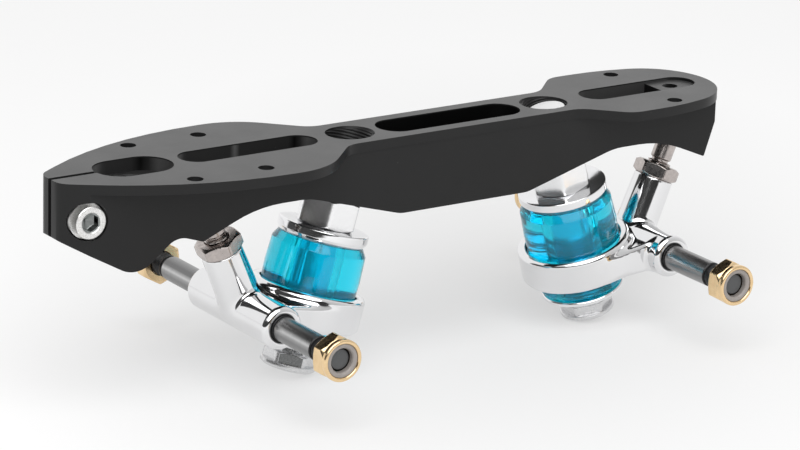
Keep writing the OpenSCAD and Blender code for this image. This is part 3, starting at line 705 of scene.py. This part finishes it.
castLook = {
    "bright": (0.83, 0.83, 0.835), "worn": (0.76, 0.76, 0.77), "roughness": (0.05, 0.11),
    "haze": (70, 3), "waves": (140, 2), "bump": (0.00006, 0.25),
    "pits": (900, 0.10, 220, 0.68), "pitTone": (0.25, 0.25, 0.26), "pitDepth": 0.4,
}
g, shade = finish("polishedCasting", {"Metallic": 1.0})
haze, pits = g.noise(*castLook["haze"]), g.specks(*castLook["pits"])
polish = g.blend(haze, castLook["bright"], castLook["worn"])
shade(
    Base_Color=g.blend(pits, polish, castLook["pitTone"]),
    Roughness=g.spread(haze, castLook["roughness"]),
    Normal=g.bump(g.noise(*castLook["waves"]) - pits * castLook["pitDepth"], *castLook["bump"]),
)


# the stain mixes the two colours and sets the roughness, the ripple makes the bump
def stainedFinish(name, constants, look):
    g, shade = finish(name, constants)
    stain = g.noise(*look["stain"])
    shade(
        Base_Color=g.blend(stain, look["pale"], look["deep"]),
        Roughness=g.spread(stain, look["roughness"]),
        Normal=g.bump(g.noise(*look["ripple"]), *look["bump"]),
    )


washerLook = {
    "pale": (0.87, 0.87, 0.88), "deep": (0.79, 0.79, 0.80), "roughness": (0.06, 0.13),
    "stain": (160, 3), "ripple": (900, 2), "bump": (0.000008, 0.3),
}
stainedFinish("nickelWasher", {"Metallic": 1.0}, washerLook)

zincLook = {
    "bright": (0.95, 0.95, 0.95), "grey": (0.86, 0.86, 0.87), "roughness": (0.17, 0.27),
    "grit": (1500, 4, 0.7), "bump": (0.00002, 0.18),
    # the end face in the plate, left matt
    "sawn": (0.78, 0.78, 0.78), "sawnFacing": 0.9, "sawnAbove": -0.012, "sawnRough": 0.3,
}
g, shade = finish("zincSteel", {})
grit = g.noise(*zincLook["grit"])
sawn = (g.toward("Z") > zincLook["sawnFacing"]) * (g.across("Z") > zincLook["sawnAbove"])
plated = g.blend(grit, zincLook["bright"], zincLook["grey"])
shade(
    Base_Color=g.blend(sawn, plated, zincLook["sawn"]),
    Metallic=1 - sawn,
    Roughness=g.spread(grit, zincLook["roughness"]) + sawn * zincLook["sawnRough"],
    Normal=g.bump(grit, *zincLook["bump"]),
)

satinLook = {
    "bright": (0.80, 0.80, 0.805), "grey": (0.60, 0.60, 0.61), "roughness": (0.18, 0.32),
    "grit": (2200, 4, 0.75), "speckle": (0.36, 0.64), "bump": (0.00003, 0.25),
    # painted reflection: one hex face on the near side of the front nut is painted dark, picked by the
    # way it looks
    "darkReflection": (0.15, 0.155, 0.155), "darkReflectionPale": (0.27, 0.275, 0.275),
    "looksX": (-0.58, -0.38), "looksY": (-1.1, -0.8),
}
g, shade = finish("satinZinc", {"Metallic": 1.0})
grit = g.noise(*satinLook["grit"])
speckle = g.span(grit, *satinLook["speckle"], 0.0, 1.0)
tilt = math.radians(truck["kingpinTilt"])
outX = abs(g.across("X")) - truck["holeX"] / 1000
down = outX * math.sin(tilt) - g.across("Z") * math.cos(tilt)
# painted reflection: that hex face of the front adjuster is painted dark
darkReflection = g.within(g.toward("X"), satinLook["looksX"]) * g.within(g.toward("Y"), satinLook["looksY"])
darkReflection = darkReflection * (g.across("X") < 0) * (down < (truck["cupEnd"] + adjuster["hexH"]) / 1000)
pale = g.blend(speckle, satinLook["bright"], satinLook["grey"])
shade(
    Base_Color=g.blend(darkReflection, pale, g.blend(speckle, satinLook["darkReflection"], satinLook["darkReflectionPale"])),
    Roughness=g.spread(grit, satinLook["roughness"]),
    Normal=g.bump(grit, *satinLook["bump"]),
)

pivotLook = {
    "bright": (0.62, 0.56, 0.53), "dark": (0.34, 0.31, 0.30), "roughness": (0.14, 0.3),
    "grit": (700, 4, 0.65), "bump": (0.00002, 0.3),
    # painted reflection: one hex face on the near side of the rear locknut is painted dark, picked by
    # the way it looks
    "darkReflection": (0.105, 0.10, 0.098), "looksX": (-0.72, -0.56), "looksY": (-0.80, -0.64),
}
g, shade = finish("darkNickel", {"Metallic": 1.0})
grit = g.noise(*pivotLook["grit"])
lean = math.radians(truck["pivotTilt"])
outX = abs(g.across("X")) - (truck["holeX"] + truck["axleX"]) / 1000
up = outX * math.sin(lean) + (g.across("Z") - truck["axleZ"] / 1000) * math.cos(lean)
inNut = g.within(up, (locknut["at"] / 1000, (locknut["at"] + locknut["h"]) / 1000))
# painted reflection: that hex face of the rear locknut is painted dark
darkReflection = g.within(g.toward("X"), pivotLook["looksX"]) * g.within(g.toward("Y"), pivotLook["looksY"])
darkReflection = darkReflection * (g.across("X") > 0) * inNut
plated = g.blend(grit, pivotLook["bright"], pivotLook["dark"])
shade(
    Base_Color=g.blend(darkReflection, plated, pivotLook["darkReflection"]),
    Roughness=g.spread(grit, pivotLook["roughness"]),
    Normal=g.bump(grit, *pivotLook["bump"]),
)

axleLook = {
    # the rear axles are painted a flatter tone over most of the painted bands
    "dark": (0.16, 0.16, 0.165), "rear": (0.33, 0.325, 0.325), "rearShare": 0.75,
    "roughness": (0.27, 0.37), "bump": (0.000006, 0.3),
    "lines": (60, 4200, 60), "lineDetail": 3, "lineShare": 0.3,
    # black threads, and a black ring at the hanger that is painted shade in the gap where the axle
    # enters it, in metres from the middle
    "blackAndGapShade": (0.014, 0.014, 0.015), "end": (0.09, 0.092, 0.094), "blackRough": 0.06, "blackDull": 0.7,
    "threadFrom": 0.0441, "endFrom": 0.0553, "ring": (0.0230, 0.0244),
    # painted highlight and shade bands round the axle, from the belly up
    "paintedBands": [(0.0, 0.23), (0.44, 0.25), (0.575, 0.40), (0.66, 0.74), (0.71, 0.58), (0.81, 0.20),
              (0.91, 0.18), (1.0, 0.28)],
}
g, shade = finish("groundAxle", {})
lines = g.noise(1.0, axleLook["lineDetail"], where=g.stretched(axleLook["lines"]))
out = abs(g.across("Y"))
# black threads and, at the hanger, a ring of painted shade
blackAndGapShade = (out > axleLook["threadFrom"]).most(g.within(out, axleLook["ring"]))
belly, crown = truck["axleZ"] - axle["r"], truck["axleZ"] + axle["r"]
# painted highlight and shade: bands of tone round the axle by height
paintedBands = g.ramp(g.span(g.across("Z") * 1000, belly, crown, 0.0, 1.0), axleLook["paintedBands"])
paintedBandsAndLines = g.blend((g.across("X") > 0) * axleLook["rearShare"], paintedBands, axleLook["rear"])
paintedBandsAndLines = g.blend(lines * axleLook["lineShare"], paintedBandsAndLines, axleLook["dark"])
steel = g.blend(blackAndGapShade, paintedBandsAndLines, axleLook["blackAndGapShade"])
shade(
    Base_Color=g.blend(out > axleLook["endFrom"], steel, axleLook["end"]),
    Metallic=1 - blackAndGapShade * axleLook["blackDull"],
    Roughness=g.spread(lines, axleLook["roughness"]) + blackAndGapShade * axleLook["blackRough"],
    Normal=g.bump(lines, *axleLook["bump"]),
)

goldLook = {
    "pale": (0.93, 0.72, 0.44), "deep": (0.78, 0.54, 0.29), "roughness": (0.14, 0.24),
    "stain": (420, 4, 0.6), "ripple": (1800, 2), "bump": (0.000012, 0.4),
}
stainedFinish("goldPassivated", {"Metallic": 1.0}, goldLook)

nylonLook = {
    "pale": (0.33, 0.30, 0.28), "deep": (0.24, 0.22, 0.205), "roughness": (0.34, 0.5),
    "stain": (900, 3), "ripple": (900, 3), "bump": (0.00003, 0.3),
}
stainedFinish("nylonRing", {"IOR": 1.5}, nylonLook)

screwLook = {
    "bright": (0.96, 0.96, 0.95), "grey": (0.66, 0.65, 0.63), "roughness": (0.3, 0.5),
    "grit": (2600, 5, 0.75), "speckle": (0.4, 0.62), "bump": (0.00004, 0.5),
    # painted shade inside the hex socket
    "key": (0.30, 0.315, 0.31), "keyR": 0.0031,
}
g, shade = finish("speckledZinc", {"Metallic": 1.0})
grit = g.noise(*screwLook["grit"])
offX, offZ = g.across("X") - clampScrew["x"] / 1000, g.across("Z") - clampScrew["z"] / 1000
# painted shade: the hex socket is painted mid-grey
keyShade = (offX ** 2 + offZ ** 2) ** 0.5 < screwLook["keyR"]
plated = g.blend(g.span(grit, *screwLook["speckle"], 0.0, 1.0), screwLook["bright"], screwLook["grey"])
shade(
    Base_Color=g.blend(keyShade, plated, screwLook["key"]),
    Roughness=g.spread(grit, screwLook["roughness"]),
    Normal=g.bump(grit, *screwLook["bump"]),
)

socketLook = {
    "pale": (0.70, 0.69, 0.66), "deep": (0.60, 0.59, 0.56), "roughness": (0.38, 0.5), "mottle": (600, 3),
}
g, shade = finish("socketPlastic", {"IOR": 1.46})
mottle = g.noise(*socketLook["mottle"])
shade(
    Base_Color=g.blend(mottle, socketLook["pale"], socketLook["deep"]),
    Roughness=g.spread(mottle, socketLook["roughness"]),
)

urethaneLook = {
    "clear": (0.02, 0.85, 1.0), "deep": (0.003, 0.63, 0.92), "swirl": (60, 2),
    "film": (300, 3), "roughness": (0.03, 0.07), "waves": (110, 2), "bump": (0.0002, 0.12),
}
g, shade = finish("clearBlueUrethane", {"IOR": 1.4, "Transmission Weight": 0.87})
shade(
    Base_Color=g.blend(g.noise(*urethaneLook["swirl"]), urethaneLook["clear"], urethaneLook["deep"]),
    Roughness=g.spread(g.noise(*urethaneLook["film"]), urethaneLook["roughness"]),
    Normal=g.bump(g.noise(*urethaneLook["waves"]), *urethaneLook["bump"]),
)
print("finishes:", len(finishes))


def dress(piece, material, node, body=None):
    piece.data.materials.clear()
    piece.data.materials.append(finishes[material])
    if body:
        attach(piece, body)
    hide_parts(node)


def turnedPiece(name, surface, place, end, material, node, body):
    points, faces = surface
    dress(meshPiece(name, placed(points, place, end), faces), material, node, body)


def platePiece(name, points, faces):
    dress(meshPiece(name, points, faces), "blackAnodised", "plate", "chassis")


kingpinPieces = {
    "Retainer": (retainerSurface(), "nickelWasher", "retainer_metal", "upper_retainer", "chassis"),
    "CupWasher": (cupWasherSurface(), "nickelWasher", "retainer_metal", "lower_retainer", "chassis"),
    "Adjuster": (adjusterSurface(), "satinZinc", "kingpin_steel", "adjuster_nut", "{end}_adjuster"),
}
pivotPieces = {
    "PivotPin": (pivotPinSurface(), "darkNickel", "pivot_steel", "pivot_pin", "{end}_truck"),
    "PivotCup": (pivotCupSurface(), "socketPlastic", "socket_plastic", "pivot_cup", "chassis"),
}
axlePieces = {"Axle": (axleSurface(), "groundAxle", "axle_steel", "axle", "{end}_truck")}
nutPieces = {
    "AxleNut": (axleNutSurface(), "goldPassivated", "gold_nut", "axle_nut"),
    "NylonRing": (nylonRingSurface(), "nylonRing", "nylon", "nut_insert"),
}
bushings = {
    "UpperBushing": (upperBushingSurface(), "upper_bushing", "retainerEnd", "upperEnd"),
    "LowerBushing": (lowerBushingSurface(), "lower_bushing", "lowerEnd", "lowerTop"),
}
sets = [(kingpinFrame, kingpinPieces), (pivotFrame, pivotPieces), (axleFrame(1), axlePieces)]
for endName, end in ends.items():
    for place, pieces in sets:
        for word, (surface, material, slot, node, body) in pieces.items():
            turnedPiece(endName + word, surface, place, end, material, f"{endName}_{node}",
                        body.format(end=endName))
    top = kingpin["top"][endName]
    turnedPiece(endName + "Kingpin", kingpinSurface(top), kingpinFrame, end, "zincSteel",
                f"{endName}_kingpin", "chassis")
    points, faces = boredThread(holeThread, -top - holeThread["lap"])
    platePiece(endName + "HoleThread", placed(points, still, end), faces)
    turnedPiece(endName + "PivotLocknut", locknutSurface(locknut["turn"][endName]), pivotFrame, end,
                "darkNickel", f"{endName}_pivot_locknut", f"{endName}_truck")
    for sideName, side in sides.items():
        for word, (surface, material, slot, node) in nutPieces.items():
            turnedPiece(endName + sideName.capitalize() + word, surface, axleFrame(side), end, material,
                        f"{endName}_{sideName}_{node}", f"{endName}_{sideName}_nut")
    for word, ((points, faces), node, fixed, moving) in bushings.items():
        piece = meshPiece(endName + word, placed(points, kingpinFrame, end), faces)
        dress(piece, "clearBlueUrethane", f"{endName}_{node}")
        tuple(station(truck[fixed], end))
        tuple(station(truck[moving], end))
        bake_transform(piece)
print("turned pieces made")

# hanger casting: signed distances in the truck's millimetres, joined with soft edges
hanger = {
    "ringR": 18.8, "ringMid": 55.55, "ringHalf": 5.65, "ringRound": 1.6,
    "housingR": 7, "housingHalf": 23.7, "housingRound": 1.8,
    "armR": (7.0, 6.6), "armL": 21.8, "armRound": 0.5,
    "neckHalfW": (18.0, 18.8), "neckHalfT": (4.2, 5.4), "neckMid": (56.6, 59.6), "neckRound": 1.2,
    "cupR": 15.8, "cupTop": 30, "lowerCupR": 14.3, "webR": 9, "boreR": 4.25, "boreBreak": 0.45,
    "pinR": 4.05, "pinFoot": 7, "neckSoft": 2.0, "joinSoft": 1.6, "edgeSoft": 0.6,
    "step": 0.5, "low": (-6, -26, -70), "high": (55, 26, -26),
}


def softMin(a, b, k):  # the lesser of two distances, rounded over k
    h = np.maximum(k - np.abs(a - b), 0) / k
    return np.minimum(a, b) - h * h * k / 4


def softMax(a, b, k):
    return -softMin(-a, -b, k)


def roundDisc(r, along, radius, half, edge):  # cylinder with rounded rims
    dr, dz = r - radius + edge, np.abs(along) - half + edge
    return np.minimum(np.maximum(dr, dz), 0) + np.hypot(np.maximum(dr, 0), np.maximum(dz, 0)) - edge


# the soft least of ring, neck, axle housing and pivot arm, then the soft greatest of that and the
# reverse of each cut: upper cup, lower cup, web, axle bore and pin hole
def hangerDistance(p):
    h = hanger
    u, y, z = p[..., 0], p[..., 1], p[..., 2]
    axes, pAxes = kingpinFrame[1], pivotFrame[1]
    a, s = u * axes[0, 0] + z * axes[2, 0], -(u * axes[0, 2] + z * axes[2, 2])
    radial = np.hypot(a, y)
    ring = roundDisc(radial, s - h["ringMid"], h["ringR"], h["ringHalf"], h["ringRound"])
    du, dz = u - truck["axleX"], z - truck["axleZ"]
    axial = np.hypot(du, dz)
    housing = roundDisc(axial, y, h["housingR"], h["housingHalf"], h["housingRound"])
    px, pz = du * pAxes[0, 0] + dz * pAxes[2, 0], du * pAxes[0, 2] + dz * pAxes[2, 2]
    pinward = np.hypot(px, y)
    share = np.clip(pz / h["armL"], 0, 1)
    footR, halfL = h["armR"][0], h["armL"] / 2
    armR = footR + (h["armR"][1] - footR) * share
    arm = roundDisc(pinward - armR + footR, pz - halfL, footR, halfL, h["armRound"])
    axleA = truck["axleX"] * axes[0, 0] + truck["axleZ"] * axes[2, 0]
    along = np.clip(a / axleA, 0, 1)
    mid, halfT, halfW = [h[key][0] + (h[key][1] - h[key][0]) * along
                         for key in ("neckMid", "neckHalfT", "neckHalfW")]
    qx, edge = np.maximum(-a, a - axleA), h["neckRound"]
    qy, qs = np.abs(y) - halfW + edge, np.abs(s - mid) - halfT + edge
    inside = np.minimum(np.maximum(np.maximum(qx, qy), qs), 0)
    outside = np.sqrt(np.maximum(qx, 0) ** 2 + np.maximum(qy, 0) ** 2 + np.maximum(qs, 0) ** 2)
    neck = inside + outside - edge
    ringNeck, housingArm = softMin(ring, neck, h["neckSoft"]), softMin(housing, arm, h["joinSoft"])
    body = softMin(ringNeck, housingArm, h["joinSoft"])
    cuts = [
        np.maximum(radial - h["cupR"], np.maximum(s - truck["webTop"], h["cupTop"] - s)),
        np.maximum(radial - h["lowerCupR"], truck["webEnd"] - s),
        radial - h["webR"],
        axial - h["boreR"] - np.maximum(np.abs(y) - h["housingHalf"] + h["boreBreak"], 0),
        np.maximum(pinward - h["pinR"], h["pinFoot"] - pz),
    ]
    for cut in cuts:
        body = softMax(body, -cut, h["edgeSoft"])
    return body


def slope(distance, points, small=0.02, tiny=1e-9):  # central differences, brought to length 1
    steps = np.eye(3) * small
    grad = np.stack([distance(points + d) - distance(points - d) for d in steps], -1)
    return grad / np.maximum(np.linalg.norm(grad, axis=1, keepdims=True), tiny)


def cellsBack(at, others, back):  # the cells that many steps back from an edge
    cells = at.copy()
    cells[:, others] -= back
    return cells


# surface net: one vertex in each cell that the surface crosses, at the mean of the crossings of its
# edges, a quad round each crossed edge, then each vertex slid down the distance's slope onto the surface
def surfaceNet(distance, low, high, step, slides=3):
    size = np.ceil((np.array(high) - low) / step).astype(int) + 1
    lines = [low[i] + step * np.arange(size[i]) for i in range(3)]
    slabs = [np.stack(np.meshgrid([x], *lines[1:], indexing="ij"), -1) for x in lines[0]]
    values = np.stack([distance(slab)[0] for slab in slabs])
    cells = tuple(size - 1)
    total, hits = np.zeros((*cells, 3)), np.zeros(cells)
    crossings = []
    for axis in range(3):
        others = [i for i in range(3) if i != axis]
        first = np.take(values, range(size[axis] - 1), axis)
        second = np.take(values, range(1, size[axis]), axis)
        crossed = (first < 0) != (second < 0)
        at = np.argwhere(crossed)
        spot = at.astype(float)
        spot[:, axis] += first[crossed] / (first[crossed] - second[crossed])
        crossings.append((others, at))
        for back in ((0, 0), (0, 1), (1, 0), (1, 1)):
            cell = cellsBack(at, others, back)
            held = (cell >= 0).all(1) & (cell < cells).all(1)
            np.add.at(hits, tuple(cell[held].T), 1)
            np.add.at(total, tuple(cell[held].T), spot[held])
    used = hits > 0
    index = np.full(cells, -1)
    index[used] = np.arange(used.sum())
    points = np.array(low) + step * total[used] / hits[used][:, None]
    quads = []
    for others, at in crossings:
        around = [cellsBack(at, others, back) for back in ((1, 1), (0, 1), (0, 0), (1, 0))]
        quads.append(np.stack([index[tuple(cell.T)] for cell in around], -1))
    for _ in range(slides):
        points = points - np.clip(distance(points), -step, step)[:, None] * slope(distance, points)
    return points, np.concatenate(quads), slope(distance, points)


castPoints, castFaces, castNormals = surfaceNet(
    hangerDistance, hanger["low"], hanger["high"], hanger["step"])
print("hanger surface:", len(castPoints), "points")
for endName, end in ends.items():
    points = placed(castPoints, still, end)
    piece = meshPiece(endName + "Hanger", points, castFaces.tolist(), sharp=180)  # smooth all over
    if len(piece.data.vertices) == len(castNormals):  # none merged
        piece.data.normals_split_custom_set_from_vertices((castNormals * (end, 1, 1)).tolist())
    dress(piece, "polishedCasting", f"{endName}_hanger", f"{endName}_truck")

points, faces = clampScrewSurface()
screwAxes = np.array([[1, 0, 0], [0, 0, -1], [0, 1, 0]], float)
points = (points @ screwAxes.T + (clampScrew["x"], clampScrew["faceY"], clampScrew["z"])) / 1000
piece = meshPiece("clampScrew", points, faces)
dress(piece, "speckledZinc", "toe_stop_clamp_screw", "clamp_screw")

points, faces = boredThread(toeThread, toeThread["low"])
platePiece("toeStopThread", (points + (toeThread["x"], 0, 0)) / 1000, faces)
platePiece("heelShelf", *heelShelfSurface())

# plate: the CAD plate with its edges broken
plateEdge = {"width": 0.00035, "segments": 2, "angle": 28, "weld": 1e-6, "flat": 0.4}
plateCopy = added("plateBody", nodes["plate"].data.copy())
plateMesh, sharpAngle = plateCopy.data, math.radians(plateEdge["angle"])
work = bmesh.new()
work.from_mesh(plateMesh)
bmesh.ops.remove_doubles(work, verts=work.verts, dist=plateEdge["weld"])
bmesh.ops.dissolve_limit(
    work, angle_limit=math.radians(plateEdge["flat"]), verts=work.verts, edges=work.edges)
work.to_mesh(plateMesh)
work.free()
if "custom_normal" in plateMesh.attributes:
    plateMesh.attributes.remove(plateMesh.attributes["custom_normal"])
plateMesh.shade_smooth()
plateMesh.set_sharp_from_angle(angle=sharpAngle)
edge = plateCopy.modifiers.new("edges", "BEVEL")
edge.width, edge.segments, edge.limit_method = plateEdge["width"], plateEdge["segments"], "ANGLE"
edge.angle_limit, edge.harden_normals, edge.use_clamp_overlap = sharpAngle, True, True
dress(plateCopy, "blackAnodised", "plate", "chassis")
print("plate, hangers and clamp screw made")

# stage: pale paper, with painted shade that makes it greyer round the object
stage = {
    "gap": 0.0002, "halfSize": 6.0, "white": (0.99,) * 3, "glow": 0.52,
    "grey": (0.866,) * 3, "greyFrom": 0.15, "greyHalf": (0.17, 0.32), "greyMid": (0.022, 0.05),
    "across": (0.829, -0.559), "away": (0.559, 0.829),
}
floorMesh = bpy.data.meshes.new("floor")
s, z = stage["halfSize"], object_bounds()[0].z - stage["gap"]
floorMesh.from_pydata([(-s, -s, z), (s, -s, z), (s, s, z), (-s, s, z)], [], [(0, 1, 2, 3)])
floor = added("floor", floorMesh)
paper = bpy.data.materials.new("paper")
paper.use_nodes = True
g = Graph(paper.node_tree)
# painted shade: a grey ellipse round the object, fading out to white
lines = [g.across("X") * stage[key][0] + g.across("Y") * stage[key][1] for key in ("across", "away")]
far, deep = [((line - middle) / half) ** 2
             for line, middle, half in zip(lines, stage["greyMid"], stage["greyHalf"])]
tone = g.span((far + deep) ** 0.5, stage["greyFrom"], 1.0, 0.0, 1.0)
tone = g.blend(tone, stage["grey"], stage["white"])
matt = g.node("ShaderNodeBsdfDiffuse", None, {"Color": tone})
glow = g.node("ShaderNodeEmission", None, {"Color": tone, "Strength": 1.0})
share = g.ray("Camera").most(g.ray("Transmission")).most(g.ray("Glossy")) * stage["glow"]
shown = g.node("ShaderNodeMixShader", None, {0: share, 1: matt, 2: glow})
g.node("ShaderNodeOutputMaterial", None, {"Surface": shown})
floorMesh.materials.append(paper)

# even soft light; what shines shows a white room, weaker in front and with a dark low wall on the
# toe side
room = {
    "light": 0.54, "level": (0.6, 1.0), "levelFrom": (-0.9, 0.5),
    "wall": (-0.857, -0.515, 0.0), "reach": (0.20, 0.30), "rise": (0.42, 0.55), "shade": 0.93,
}
world = bpy.data.worlds.new("studio")
bpy.context.scene.world = world
world.use_nodes = True
g = Graph(world.node_tree)
facing = g.node("ShaderNodeTexCoord", output="Generated")
seen, shiny = g.ray("Camera"), g.ray("Glossy").most(g.ray("Transmission"))
level = g.span(g.part(facing, "Y"), *room["levelFrom"], *room["level"])
toWall = g.node("ShaderNodeVectorMath", {"operation": "DOT_PRODUCT"}, {0: facing, 1: room["wall"]},
                output="Value")
low = g.span(g.part(facing, "Z"), *room["rise"], 1.0, 0.0)
level = level * (1 - g.span(toWall, *room["reach"], 0.0, room["shade"]) * low)
strength = room["light"] + shiny * (level - room["light"]) + seen * (stage["white"][0] - room["light"])
backdrop = g.node("ShaderNodeBackground", None, {"Color": (1, 1, 1, 1), "Strength": strength})
g.node("ShaderNodeOutputWorld", None, {"Surface": backdrop})

lamp = {"at": (-0.45, -0.85, 1.05), "size": 1.8, "watts": 20.0}
light = bpy.data.lights.new("key", "AREA")
light.energy, light.size, light.shape = lamp["watts"], lamp["size"], "DISK"
key = added("key", light)
key.location = lamp["at"]
key.rotation_euler = (-key.location).to_track_quat("-Z", "Y").to_euler()

view = {
    "lens": 180, "sensor": 36, "clip": (0.05, 50), "at": (-0.6955, -1.0064, 0.3486),
    "right": (0.83388, -0.55121, 0.02856), "up": (0.14287, 0.26554, 0.95345),
    "back": (-0.53313, -0.79098, 0.30018),
}
lens = bpy.data.cameras.new("camera")
lens.lens, lens.sensor_width = view["lens"], view["sensor"]
lens.clip_start, lens.clip_end = view["clip"]
camera = added("camera", lens)
turn = Matrix((view["right"], view["up"], view["back"])).transposed().to_4x4()
camera.matrix_world = Matrix.Translation(view["at"]) @ turn
bpy.context.scene.camera = camera
bpy.context.scene.view_settings.view_transform = "Standard"
print("floor, room, light and camera set")
